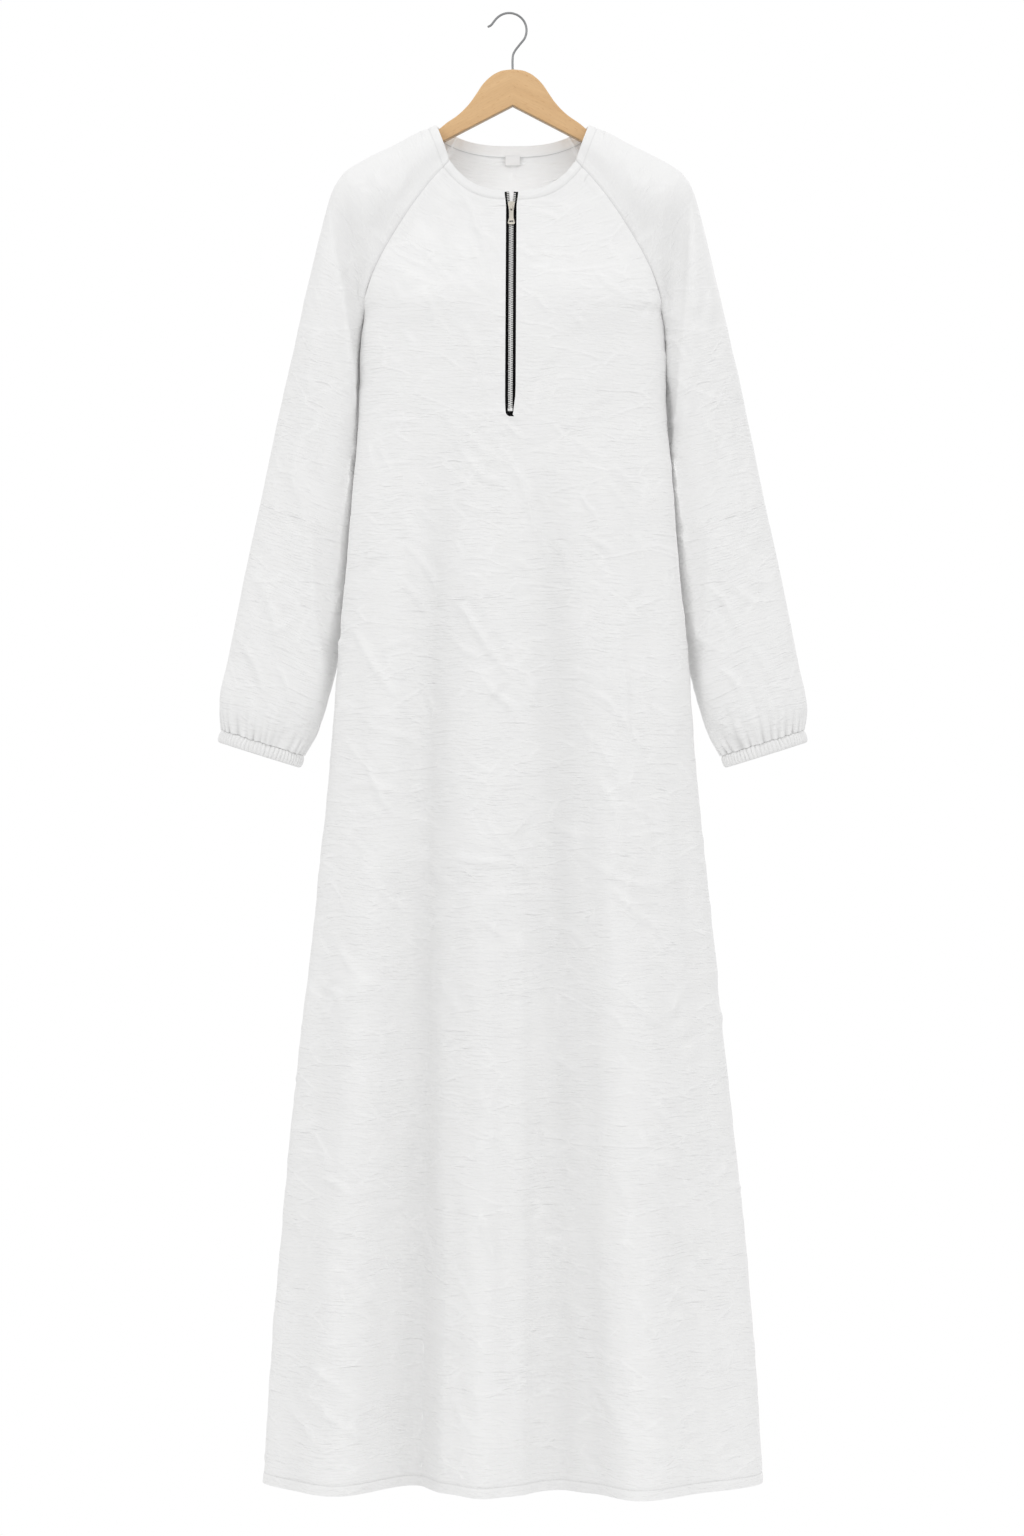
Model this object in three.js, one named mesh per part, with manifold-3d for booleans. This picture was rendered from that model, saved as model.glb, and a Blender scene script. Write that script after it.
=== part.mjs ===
// A long white pull-on abaya on a wooden hanger. The front, the back and two raglan sleeves are each one
// cut of crinkled cloth, joined along the raglan seams and the side seams. A narrow facing lines the neck
// edge, a metal half zip on black tape closes the front slit, a blank label hangs from the back facing,
// and elastic in a ribbed casing gathers each sleeve end. The hem hangs in three deep lobes.
// Millimetres, +Z up, the front towards -Y. The origin is where a rail bears inside the hanger's hook.
import * as THREE from "three";
import { mergeVertices } from "three/addons/utils/BufferGeometryUtils.js";
import Module from "manifold-3d";

const wasm = await Module();
wasm.setup();

// ---- driving sizes ----
const WALL = 1.2; // cloth
const SEAM_PULL = 0.2; // each piece stops this far short of a seam
const GAP = 0.35; // between pieces that lie on each other
const HEM_DROP = 1543; // hem below the rail
const ARMPIT_DROP = 320;
const NECK_FRONT_DROP = 190.5;
const NECK_BACK_DROP = 135;
const FACING = { width: 12, thick: 0.8, gap: 0.5 };
const ZIP = {
  topX: -1.4,
  bottomX: -2.6,
  bottomDrop: 429,
  halfGap: 5.5,
  halfGapTop: 7.2,
  flare: 18, // height over which the gap opens at the neck
  tapeReach: 4.6, // tape hidden under each edge of the slit
  tapeThick: 0.7,
  chainWidth: 4.8,
  chainThick: 2.2,
  branchWidth: 2.2,
};
const SLIDER = { drop: 206.3, width: 7, height: 9, plate: 1 };
const PIVOT = { up: -1.2, out: 1.15 }; // the pull's bar, from the middle of the slider's face
const BRIDGE = { half: 3.5, opening: 2.2, height: 3.4, inside: 2.3, thick: 1.6 };
const PULL = {
  bar: 0.7,
  eye: 4.7,
  eyeWidth: 2.4,
  length: 19.5,
  top: 4.8,
  bottom: 7.2,
  neck: 12,
  thick: 1.1,
  corner: 1.6,
  slotHalf: 2.2,
  slotFrom: 2.1,
  slotTo: 3.9,
};
const LABEL = { width: 16.5, height: 11.5, thick: 0.6 };
const CUFF = { height: 14, ribs: 64, ribHeight: 0.9, halfDepth: 20, bulge: 1.1, thick: 2 };
const HANGER = { thick: 12, halfWidth: 172, edge: 2.6, holeRadius: 1.55, stemDepth: 20 };
const HOOK = { wire: 2.4, radius: 18.3, centreX: -3.7 };

// ---- mesh resolution ----
const RAGLAN_ROWS = 8;
const SKIRT_ROWS = 16;
const FRONT_HALF_COLUMNS = 13;
const BACK_HALF_COLUMNS = 11;
const SLEEVE_HALF_COLUMNS = 14;
const TUBE_ROWS = 8;
const GATHER_ROWS = 3;

// ---- tables: one row for each level or seam station ----
// The body tube: half width, depth of the front and back, how far the side turns in behind the front
// edge, and the share of the fold height that has opened.
const BODY = [
  { drop: 320, half: 154.9, front: 47.5, back: 40, turnIn: 0, folds: 0 },
  { drop: 345, half: 159.5, front: 48.2, back: 41.5, turnIn: 11, folds: 0 },
  { drop: 370, half: 161, front: 48.6, back: 42.5, turnIn: 18, folds: 0 },
  { drop: 410, half: 161.5, front: 49, back: 44, turnIn: 21, folds: 0 },
  { drop: 460, half: 165, front: 50, back: 46, turnIn: 22, folds: 0.02 },
  { drop: 565, half: 173.5, front: 54, back: 49, turnIn: 22, folds: 0.09 },
  { drop: 675, half: 183.5, front: 57, back: 52, turnIn: 20, folds: 0.18 },
  { drop: 775, half: 191, front: 59, back: 55, turnIn: 16, folds: 0.28 },
  { drop: 933, half: 207, front: 62, back: 59, turnIn: 13, folds: 0.42 },
  { drop: 1102, half: 224, front: 65, back: 64, turnIn: 11, folds: 0.58 },
  { drop: 1271, half: 242, front: 68, back: 70, turnIn: 10, folds: 0.75 },
  { drop: 1439, half: 256, front: 71, back: 76, turnIn: 9, folds: 0.91 },
  { drop: HEM_DROP, half: 261.5, front: 73, back: 80, turnIn: 8, folds: 1 },
];
// Fold crests (+) and troughs (-): place across the panel at chest level and at the hem, height at the hem.
const FRONT_FOLDS = [
  { name: "left side", chestX: -158, hemX: -262, height: 0 },
  { name: "left lobe", chestX: -118, hemX: -190, height: 35 },
  { name: "left trough", chestX: -82, hemX: -100, height: -38 },
  { name: "middle lobe, steep side", chestX: -62, hemX: -70, height: 4 },
  { name: "middle lobe", chestX: -26, hemX: -30, height: 31 },
  { name: "right trough", chestX: 44, hemX: 50, height: -17 },
  { name: "right trough, steep side", chestX: 68, hemX: 78, height: 2 },
  { name: "right lobe", chestX: 96, hemX: 130, height: 46 },
  { name: "right hollow", chestX: 132, hemX: 210, height: 12 },
  { name: "right side", chestX: 158, hemX: 262, height: 0 },
];
const BACK_FOLDS = [
  { name: "left side", chestX: -158, hemX: -262, height: 0 },
  { name: "left lobe", chestX: -112, hemX: -176, height: 24 },
  { name: "left trough", chestX: -66, hemX: -98, height: -24 },
  { name: "middle lobe", chestX: -8, hemX: -10, height: 25 },
  { name: "right trough", chestX: 52, hemX: 80, height: -25 },
  { name: "right lobe", chestX: 104, hemX: 168, height: 22 },
  { name: "right side", chestX: 158, hemX: 262, height: 0 },
];
// Raglan seams, neckline to armpit: x, drop and depth of the right-hand seam, and the depth at the panel's
// centre line and roundness of the row that ends on it.
const FRONT_SEAM = [
  { t: 0, x: 66.4, drop: 157.5, depth: 20.5, centre: 26, round: 1 },
  { t: 0.15, x: 83.6, drop: 176, depth: 22.5, centre: 29, round: 1 },
  { t: 0.33, x: 104, drop: 202.5, depth: 25, centre: 33, round: 1 },
  { t: 0.5, x: 123.4, drop: 232.5, depth: 27, centre: 37, round: 1 },
  { t: 0.67, x: 139.5, drop: 261, depth: 27.5, centre: 41, round: 0.9 },
  { t: 0.8, x: 149.2, drop: 283.5, depth: 26, centre: 44.5, round: 0.7 },
  { t: 0.92, x: 154.4, drop: 304.5, depth: 18, centre: 46.5, round: 0.45 },
  { t: 1, x: 154.9, drop: ARMPIT_DROP, depth: 0, centre: 47.5, round: 0.25 },
];
const BACK_SEAM = [
  { t: 0, x: 60, drop: 125.5, depth: 19, centre: 21, round: 1 },
  { t: 0.15, x: 76, drop: 151, depth: 21, centre: 25, round: 1 },
  { t: 0.33, x: 97, drop: 183, depth: 23, centre: 28.5, round: 1 },
  { t: 0.5, x: 117, drop: 214, depth: 24.5, centre: 32, round: 1 },
  { t: 0.67, x: 135, drop: 247, depth: 25, centre: 35, round: 0.9 },
  { t: 0.8, x: 146, drop: 274, depth: 22, centre: 37, round: 0.7 },
  { t: 0.92, x: 153, drop: 300, depth: 14, centre: 39, round: 0.45 },
  { t: 1, x: 154.9, drop: ARMPIT_DROP, depth: 0, centre: 40, round: 0.25 },
];
// The shoulder's ridge over the hanger and down the outside of the sleeve, level with each seam station,
// with the sleeve's depths there and how sharp its ridge is.
const SHOULDER = [
  { t: 0, x: 80, drop: 118, front: 21, back: 19, sharp: 0.8 },
  { t: 0.12, x: 100, drop: 125.8, front: 24, back: 21, sharp: 0.8 },
  { t: 0.25, x: 123, drop: 138, front: 27, back: 23, sharp: 0.78 },
  { t: 0.38, x: 146, drop: 149, front: 29, back: 25, sharp: 0.75 },
  { t: 0.48, x: 163, drop: 158, front: 30, back: 26, sharp: 0.7 },
  { t: 0.56, x: 176, drop: 166.5, front: 31, back: 27, sharp: 0.62 },
  { t: 0.64, x: 184.5, drop: 177, front: 32, back: 28, sharp: 0.56 },
  { t: 0.72, x: 191, drop: 191, front: 33, back: 29, sharp: 0.52 },
  { t: 0.8, x: 197, drop: 212, front: 34, back: 30, sharp: 0.5 },
  { t: 0.88, x: 204.5, drop: 241, front: 35, back: 31, sharp: 0.5 },
  { t: 0.94, x: 211, drop: 268, front: 36, back: 32, sharp: 0.5 },
  { t: 1, x: 218.5, drop: 301, front: 37, back: 33, sharp: 0.5 },
];
// The fold that drops from the hanger's tip to the armpit: its trough's x, half width and depth.
const DROP_FOLD = [
  { drop: 180, x: 173, width: 9, depth: 0 },
  { drop: 215, x: 174, width: 11, depth: 7 },
  { drop: 255, x: 171, width: 12, depth: 12 },
  { drop: 290, x: 165, width: 11, depth: 12 },
  { drop: 330, x: 160, width: 9, depth: 0 },
];
// The sleeve below the armpit: the near edge beside the body, the far edge, the depths, and the width of
// the turn from the near edge to the front face as a share of the section.
const SLEEVE = [
  { s: 0, nearX: 154.9, near: 320, nearY: 0, farX: 218.5, far: 301, front: 37, back: 33, turn: 0.3 },
  { s: 0.06, nearX: 156.5, near: 347, nearY: 9, farX: 224.5, far: 326, front: 37, back: 34, turn: 0.24 },
  { s: 0.13, nearX: 156.8, near: 378, nearY: 12, farX: 231, far: 356, front: 36, back: 35, turn: 0.22 },
  { s: 0.18, nearX: 157.8, near: 400, nearY: 13, farX: 236, far: 377, front: 35, back: 36, turn: 0.24 },
  { s: 0.33, nearX: 160.5, near: 470, nearY: 13, farX: 250.5, far: 443, front: 31, back: 38, turn: 0.36 },
  { s: 0.49, nearX: 166, near: 545, nearY: 13, farX: 265, far: 514, front: 29, back: 39, turn: 0.42 },
  { s: 0.64, nearX: 174.5, near: 615, nearY: 11, farX: 279.5, far: 581, front: 29, back: 38, turn: 0.36 },
  { s: 0.77, nearX: 183.5, near: 674, nearY: 8, farX: 291, far: 637, front: 29, back: 35, turn: 0.3 },
  { s: 0.87, nearX: 194.5, near: 719, nearY: 4, farX: 300.5, far: 684, front: 28, back: 32, turn: 0.28 },
  { s: 0.95, nearX: 208, near: 760, nearY: 0, farX: 309.5, far: 730, front: 25, back: 27, turn: 0.4 },
  { s: 1, nearX: 220.4, near: 781, nearY: 0, farX: 306.4, far: 754, front: 20.4, back: 20.4, turn: 0.5 },
];
// The wooden hanger below the rail, from its crown to its shoulder tip.
const HANGER_TOP = [
  { x: 0, drop: 58.5 },
  { x: 10, drop: 59.6 },
  { x: 18.3, drop: 62.8 },
  { x: 25.1, drop: 67.6 },
  { x: 31.8, drop: 74.6 },
  { x: 37.6, drop: 83.2 },
  { x: 44, drop: 92.5 },
  { x: 50.7, drop: 100.2 },
  { x: 58.7, drop: 107.4 },
  { x: 69.5, drop: 114.8 },
];
const HANGER_UNDER = [
  { x: 0, drop: 97.1 },
  { x: 74, drop: 135.4 },
  { x: 120, drop: 158 },
  { x: 158, drop: 174.5 },
];
const HOOK_BEND = [
  { x: 0, drop: 80 },
  { x: 0, drop: 62 },
  { x: 0, drop: 45.5 },
  { x: 2.3, drop: 38.6 },
  { x: 7.4, drop: 31.8 },
];
const HOOK_TIP = [
  { x: -19.6, drop: 7.2 },
  { x: -22.8, drop: 11.2 },
  { x: -26.6, drop: 13.2 },
];

// ---- curves through the tables ----
const clamp01 = (v) => Math.min(1, Math.max(0, v));
const smooth = (v) => clamp01(v) ** 2 * (3 - 2 * clamp01(v));
const mix = (a, b, v) => a + (b - a) * v;

// A smooth curve through a table's column, without overshoot (monotone cubic).
function curve(table, key, column) {
  const xs = table.map((r) => r[key]);
  const ys = table.map((r) => r[column]);
  const slopes = xs.slice(1).map((x, i) => (ys[i + 1] - ys[i]) / (x - xs[i]));
  const tangents = xs.map((_, i) => {
    const a = slopes[Math.max(0, i - 1)];
    const b = slopes[Math.min(slopes.length - 1, i)];
    return a * b <= 0 ? 0 : (2 * a * b) / (a + b);
  });
  return (at) => {
    const x = Math.min(xs[xs.length - 1], Math.max(xs[0], at));
    let i = 0;
    while (i < xs.length - 2 && x > xs[i + 1]) i++;
    const h = xs[i + 1] - xs[i];
    const u = (x - xs[i]) / h;
    const left = ys[i] * (1 + 2 * u) * (1 - u) ** 2 + tangents[i] * h * u * (1 - u) ** 2;
    const right = ys[i + 1] * u * u * (3 - 2 * u) + tangents[i + 1] * h * u * u * (u - 1);
    return left + right;
  };
}

// Every column of a table as a curve, by name.
const curves = (table, key) =>
  Object.fromEntries(
    Object.keys(table[0])
      .filter((c) => c !== key && c !== "name")
      .map((c) => [c, curve(table, key, c)]),
  );

const body = curves(BODY, "drop");
const frontSeam = curves(FRONT_SEAM, "t");
const backSeam = curves(BACK_SEAM, "t");
const shoulder = curves(SHOULDER, "t");
const dropFold = curves(DROP_FOLD, "drop");
const sleeveTube = curves(SLEEVE, "s");

const TURN_FROM = -22; // the side starts to turn in at this depth, and has turned in at the next
const TURN_TO = 25;
const turnedIn = (y) => smooth((y - TURN_FROM) / (TURN_TO - TURN_FROM));
const sideX = (drop) => body.half(drop) - body.turnIn(drop) * turnedIn(0);

// How far the folds push a panel out at x and a drop.
function foldHeight(folds, x, drop) {
  const fall = clamp01((drop - 420) / (HEM_DROP - 420));
  const at = folds.map((f) => mix(f.chestX, f.hemX, fall));
  let i = 0;
  while (i < at.length - 2 && x > at[i + 1]) i++;
  const share = smooth((x - at[i]) / (at[i + 1] - at[i]));
  return mix(folds[i].height, folds[i + 1].height, share) * body.folds(drop);
}

// ---- panel rows: a row runs from the left seam to the right seam ----
const rowDrops = [349.3];
for (let i = 1; i < SKIRT_ROWS; i++) {
  rowDrops.push(mix(349.3, HEM_DROP, i / (SKIRT_ROWS - 1)));
}

// A point of a panel row at share r from the centre line (0) to the right seam (1), for either side.
function panelPoint(side, row, r, sign) {
  const upper = row <= RAGLAN_ROWS;
  const t = upper ? row / RAGLAN_ROWS : 1;
  const seam = side.seam;
  const endDrop = upper ? seam.drop(t) : rowDrops[row - RAGLAN_ROWS - 1];
  const centreDrop = upper ? mix(side.neckDrop, ARMPIT_DROP, t) : endDrop;
  const sag = 1 - r ** mix(2.9, 2.2, t);
  const drop = mix(endDrop, centreDrop, sag);
  const depthAtEnd = upper ? seam.depth(t) : 0;
  const depthAtCentre = upper ? seam.centre(t) : body[side.column](drop);
  const round = upper ? seam.round(t) : 0.25;
  let depth = mix(depthAtEnd, depthAtCentre, (1 - r * r) ** round);
  const turn = upper ? 0 : body.turnIn(drop);
  const seamX = upper ? seam.x(t) : sideX(drop);
  const full = seamX + turn * turnedIn(side.facing * depthAtEnd);
  const x = full * r * sign;
  if (!upper) depth += foldHeight(side.folds, x, drop) * (1 - r ** 6);
  const y = depth * side.facing;
  return new THREE.Vector3(x - sign * turn * turnedIn(y) * r ** 4, y, -drop);
}

const FRONT = {
  column: "front",
  seam: frontSeam,
  folds: FRONT_FOLDS,
  facing: -1,
  neckDrop: NECK_FRONT_DROP,
  halfColumns: FRONT_HALF_COLUMNS,
};
const BACK = {
  column: "back",
  seam: backSeam,
  folds: BACK_FOLDS,
  facing: 1,
  neckDrop: NECK_BACK_DROP,
  halfColumns: BACK_HALF_COLUMNS,
};

const SAMPLES = 160;
// Half a row from the inner edge (share r0) to the seam, its points evenly spaced along the cloth.
function halfRow(side, row, sign, r0) {
  const fine = [];
  for (let k = 0; k <= SAMPLES; k++) {
    const r = Math.sin(mix(Math.asin(r0), Math.PI / 2, k / SAMPLES));
    fine.push(panelPoint(side, row, Math.min(1, r), sign));
  }
  const run = [0];
  for (let k = 1; k < fine.length; k++) run.push(run[k - 1] + fine[k].distanceTo(fine[k - 1]));
  const total = run[run.length - 1];
  const points = [];
  let k = 0;
  for (let j = 0; j <= side.halfColumns; j++) {
    const want = (total * j) / side.halfColumns;
    while (k < run.length - 2 && run[k + 1] < want) k++;
    const u = run[k + 1] > run[k] ? (want - run[k]) / (run[k + 1] - run[k]) : 0;
    points.push(fine[k].clone().lerp(fine[k + 1], clamp01(u)));
  }
  return points;
}

// The zip's centre line and half opening at a drop.
const zipX = (drop) => mix(ZIP.topX, ZIP.bottomX, clamp01((drop - NECK_FRONT_DROP) / 238));
const zipHalfGap = (drop) =>
  mix(ZIP.halfGapTop, ZIP.halfGap, smooth((drop - NECK_FRONT_DROP) / ZIP.flare)) +
  9 * smooth((drop - ZIP.bottomDrop - 30) / 900);

// The share r at which a row crosses a wanted x near the centre.
function shareAtX(side, row, x) {
  const edge = Math.abs(panelPoint(side, row, 0.2, 1).x);
  return (Math.abs(x) / edge) * 0.2;
}

// The front's rows carry three middle columns: the slit's left edge, the centre and its right edge.
function frontGrid() {
  const rows = [];
  for (let i = 0; i <= RAGLAN_ROWS + SKIRT_ROWS; i++) {
    const above = i <= RAGLAN_ROWS;
    const drop = above ? mix(NECK_FRONT_DROP, ARMPIT_DROP, i / RAGLAN_ROWS) : rowDrops[i - RAGLAN_ROWS - 1];
    const centre = zipX(drop);
    const gap = zipHalfGap(drop);
    const left = halfRow(FRONT, i, -1, shareAtX(FRONT, i, centre - gap));
    const right = halfRow(FRONT, i, 1, shareAtX(FRONT, i, centre + gap));
    const middle = left[0].clone().lerp(right[0], 0.5);
    rows.push([...left.reverse(), middle, ...right]);
  }
  return rows;
}

function backGrid() {
  const rows = [];
  for (let i = 0; i <= RAGLAN_ROWS + SKIRT_ROWS; i++) {
    const left = halfRow(BACK, i, -1, 0);
    const right = halfRow(BACK, i, 1, 0);
    rows.push([...left.reverse(), ...right.slice(1)]);
  }
  return rows;
}

// ---- sleeves: a row runs from the front seam over the outer ridge to the back seam ----
// One half of a section: b runs from the seam or inner edge (0) to the outer ridge (1).
function sectionDepth(b, { seamDepth, face, turn, turnPower, ridgeFrom, sharp }) {
  const rise = b < turn ? (1 - (1 - b / turn) ** 2) ** turnPower : 1;
  const ridge = b > ridgeFrom ? (1 - ((b - ridgeFrom) / (1 - ridgeFrom)) ** 2) ** sharp : 1;
  const line = seamDepth * (1 - b);
  return line + (face - line) * rise * ridge;
}

// Shares closer together near both ends, where the section turns.
function sectionShares(count) {
  return Array.from({ length: count + 1 }, (_, j) => {
    const even = j / count;
    return mix(even, (1 - Math.cos(Math.PI * even)) / 2, 0.75);
  });
}

// A raglan row at t, from the front seam to the back seam of the right sleeve.
function raglanRow(t, halfColumns) {
  const outer = new THREE.Vector3(shoulder.x(t), 0, -shoulder.drop(t));
  const half = (seam, facing, face) => {
    const start = new THREE.Vector3(seam.x(t), facing * seam.depth(t), -seam.drop(t));
    return sectionShares(halfColumns).map((b) => {
      const p = start.clone().lerp(outer, b);
      const depth = sectionDepth(b, {
        seamDepth: seam.depth(t),
        face,
        turn: mix(0.5, 0.3, smooth((t - 0.6) / 0.4)),
        turnPower: facing < 0 ? 1 : mix(1, 0.5, smooth((t - 0.85) / 0.15)),
        ridgeFrom: mix(0.35, 0.5, t),
        sharp: shoulder.sharp(t),
      });
      const drop = -p.z;
      const away = (p.x - dropFold.x(drop)) / dropFold.width(drop);
      p.y = facing * (depth - dropFold.depth(drop) * Math.exp(-away * away) * smooth(b * 6));
      return p;
    });
  };
  const front = half(frontSeam, -1, shoulder.front(t));
  const back = half(backSeam, 1, shoulder.back(t));
  return [...front, ...back.reverse().slice(1)];
}

// A closed row at s below the armpit, starting and ending on the inner edge.
function tubeRow(s, halfColumns) {
  const inner = new THREE.Vector3(sleeveTube.nearX(s), sleeveTube.nearY(s), -sleeveTube.near(s));
  const outer = new THREE.Vector3(sleeveTube.farX(s), 0, -sleeveTube.far(s));
  const half = (facing, face) =>
    sectionShares(halfColumns).map((b) => {
      const p = inner.clone().lerp(outer, b);
      p.y =
        facing *
        sectionDepth(b, {
          seamDepth: facing * inner.y,
          face,
          turn: sleeveTube.turn(s),
          turnPower: facing < 0 ? mix(0.5, 0.8, smooth((0.95 - s) / 0.25)) : 0.5,
          ridgeFrom: 0.5,
          sharp: 0.5,
        });
      return p;
    });
  const front = half(-1, sleeveTube.front(s));
  const back = half(1, sleeveTube.back(s));
  return [...front, ...back.reverse().slice(1)];
}

// Uneven gather heights, the same every time.
const uneven = (k) => 0.72 + 0.28 * Math.sin(k * 2.39) + 0.16 * Math.sin(k * 5.1 + 1);

function sleeveRows() {
  const rows = [];
  for (let i = 0; i <= RAGLAN_ROWS; i++) rows.push(raglanRow(i / RAGLAN_ROWS, SLEEVE_HALF_COLUMNS));
  const gatherFrom = 0.9;
  const firstRow = 0.055; // close below the armpit, where the sleeve turns away from the body
  for (let i = 0; i < TUBE_ROWS; i++) {
    rows.push(tubeRow(mix(firstRow, gatherFrom, i / (TUBE_ROWS - 1)), SLEEVE_HALF_COLUMNS));
  }
  for (let i = 1; i <= GATHER_ROWS; i++) {
    const share = i / GATHER_ROWS;
    const row = tubeRow(mix(gatherFrom, 1, share), SLEEVE_HALF_COLUMNS * 2);
    const centre = row.reduce((sum, p) => sum.add(p), new THREE.Vector3()).divideScalar(row.length);
    const waved = row.map((p, j) => {
      const out = p.clone().sub(centre).normalize();
      const side = j % 2 ? -1 : 1;
      const height = side * mix(0.5, 1.5, share) * uneven(Math.floor((j % (row.length - 1)) / 2));
      return p.clone().addScaledVector(out, height - mix(0, 0.6, share));
    });
    waved[waved.length - 1] = waved[0].clone();
    rows.push(waved);
  }
  return rows;
}

// ---- meshes ----
// A grid's outer faces, as triangles of keys into points. Rows may double their columns once.
// keep(i, j) says whether a cell of the grid is cloth. Faces wind so that they look outwards.
function gridFaces(rows, { keep = () => true, closedFrom = Infinity, flip = false } = {}) {
  const faces = [];
  const add = (a, b, c) => faces.push(flip ? [a, c, b] : [a, b, c]);
  const key = (i, j) => (i >= closedFrom && j === rows[i].length - 1 ? [i, 0] : [i, j]);
  for (let i = 0; i < rows.length - 1; i++) {
    const doubled = rows[i + 1].length > rows[i].length;
    for (let j = 0; j < rows[i].length - 1; j++) {
      if (!keep(i, j)) continue;
      const a = key(i, j);
      const b = key(i, j + 1);
      if (doubled) {
        const [c, m, d] = [key(i + 1, 2 * j), key(i + 1, 2 * j + 1), key(i + 1, 2 * j + 2)];
        add(a, c, m);
        add(a, m, b);
        add(b, m, d);
      } else {
        const c = key(i + 1, j);
        const d = key(i + 1, j + 1);
        add(a, c, d);
        add(a, d, b);
      }
    }
  }
  return faces;
}

const placeKey = (p) => `${Math.round(p.x * 50)},${Math.round(p.y * 50)},${Math.round(p.z * 50)}`;

// Adds each face's normal to every place that it touches, so that pieces share normals along a seam.
const seamNormals = new Map();
function addNormals(rows, faces) {
  for (const face of faces) {
    const [a, b, c] = face.map(([i, j]) => rows[i][j]);
    const n = b.clone().sub(a).cross(c.clone().sub(a));
    for (const p of [a, b, c]) {
      const k = placeKey(p);
      if (!seamNormals.has(k)) seamNormals.set(k, new THREE.Vector3());
      seamNormals.get(k).add(n);
    }
  }
}
// The direction out of the cloth. At the armpit, where three pieces meet, it is down and a little out.
function normalAt(p) {
  if (p.z === -ARMPIT_DROP && p.y === 0) return new THREE.Vector3(Math.sign(p.x) * 0.3, 0, -1).normalize();
  return (seamNormals.get(placeKey(p)) ?? new THREE.Vector3(0, -1, 0)).clone().normalize();
}

// A closed wall from outer faces, its inner points, and rims along the open edges.
function closedWall(outer, inner, faces) {
  const ids = new Map();
  const positions = [];
  const id = (layer, [i, j]) => {
    const k = `${layer}:${i}:${j}`;
    if (!ids.has(k)) {
      ids.set(k, positions.length / 3);
      const p = (layer ? inner : outer)[i][j];
      positions.push(p.x, p.y, p.z);
    }
    return ids.get(k);
  };
  const index = [];
  const edges = new Map();
  for (const [a, b, c] of faces) {
    index.push(id(0, a), id(0, b), id(0, c), id(1, a), id(1, c), id(1, b));
    for (const [p, q] of [
      [a, b],
      [b, c],
      [c, a],
    ]) {
      const back = `${q}|${p}`;
      if (edges.has(back)) edges.delete(back);
      else edges.set(`${p}|${q}`, [p, q]);
    }
  }
  for (const [p, q] of edges.values()) {
    // The upper end decides how a rim is split, so that facing rims stay parallel.
    if (outer[p[0]][p[1]].z > outer[q[0]][q[1]].z) {
      index.push(id(0, q), id(0, p), id(1, q), id(0, p), id(1, p), id(1, q));
    } else {
      index.push(id(0, q), id(0, p), id(1, p), id(0, q), id(1, p), id(1, q));
    }
  }
  const geometry = new THREE.BufferGeometry();
  geometry.setAttribute("position", new THREE.Float32BufferAttribute(positions, 3));
  geometry.setIndex(index);
  geometry.computeVertexNormals();
  return geometry;
}

// Moves a point on a seam a little to its own side, squarely across the seam.
function besideSeam(rows, i, j, next, armpitMove) {
  const p = rows[i][j];
  if (i === RAGLAN_ROWS) return p.clone().add(armpitMove);
  const tangent = rows[Math.min(rows.length - 1, i + 1)][j].clone().sub(rows[Math.max(0, i - 1)][j]);
  const across = tangent.cross(normalAt(p)).normalize();
  const toNext = next.clone().sub(p);
  return p.clone().addScaledVector(across, SEAM_PULL * Math.sign(across.dot(toNext)));
}

const group = new THREE.Group();
group.name = "abaya_on_hanger";
const FINISH = {
  cloth: { color: 0xf1f1f0, roughness: 0.85, metalness: 0 },
  tape: { color: 0x131313, roughness: 0.9, metalness: 0 },
  zipMetal: { color: 0xb9b6ae, roughness: 0.35, metalness: 0.9 },
  wood: { color: 0xd9ae7c, roughness: 0.5, metalness: 0 },
  steel: { color: 0xa5a7aa, roughness: 0.25, metalness: 0.95 },
};
function addMesh(name, geometry, finish, parent = group) {
  const mesh = new THREE.Mesh(geometry, new THREE.MeshStandardMaterial(FINISH[finish]));
  mesh.name = name;
  parent.add(mesh);
  return mesh;
}

const mirrored = (rows) => rows.map((row) => row.map((p) => new THREE.Vector3(-p.x, p.y, p.z)));
const insetPoint = (p) => p.clone().addScaledVector(p.normal, -WALL);
const insideOf = (rows) => rows.map((row) => row.map(insetPoint));

// ---- cloth ----
const frontRows = frontGrid();
const backRows = backGrid();
const rightSleeveRows = sleeveRows();
const leftSleeveRows = mirrored(rightSleeveRows);

const slitLeft = FRONT_HALF_COLUMNS;
const slitRight = FRONT_HALF_COLUMNS + 2;
const slitLastRow = frontRows.findIndex((row) => -row[slitLeft + 1].z > ZIP.bottomDrop - 12);
const slitRow = frontRows[slitLastRow];
// The slit's last row is set on the zip's foot: its corners a little higher than its middle.
for (const [j, rise] of [
  [slitLeft, 7],
  [slitLeft + 1, 0],
  [slitRight, 7],
]) {
  slitRow[j].z = -ZIP.bottomDrop + rise;
}
const inSlit = (i, j) => i < slitLastRow && j >= slitLeft && j < slitRight;

const frontFaces = gridFaces(frontRows, { keep: (i, j) => !inSlit(i, j) });
const backFaces = gridFaces(backRows, { flip: true });
const rightFaces = gridFaces(rightSleeveRows, { closedFrom: RAGLAN_ROWS });
const leftFaces = gridFaces(leftSleeveRows, { closedFrom: RAGLAN_ROWS, flip: true });
addNormals(frontRows, frontFaces);
addNormals(backRows, backFaces);
addNormals(rightSleeveRows, rightFaces);
addNormals(leftSleeveRows, leftFaces);

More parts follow.
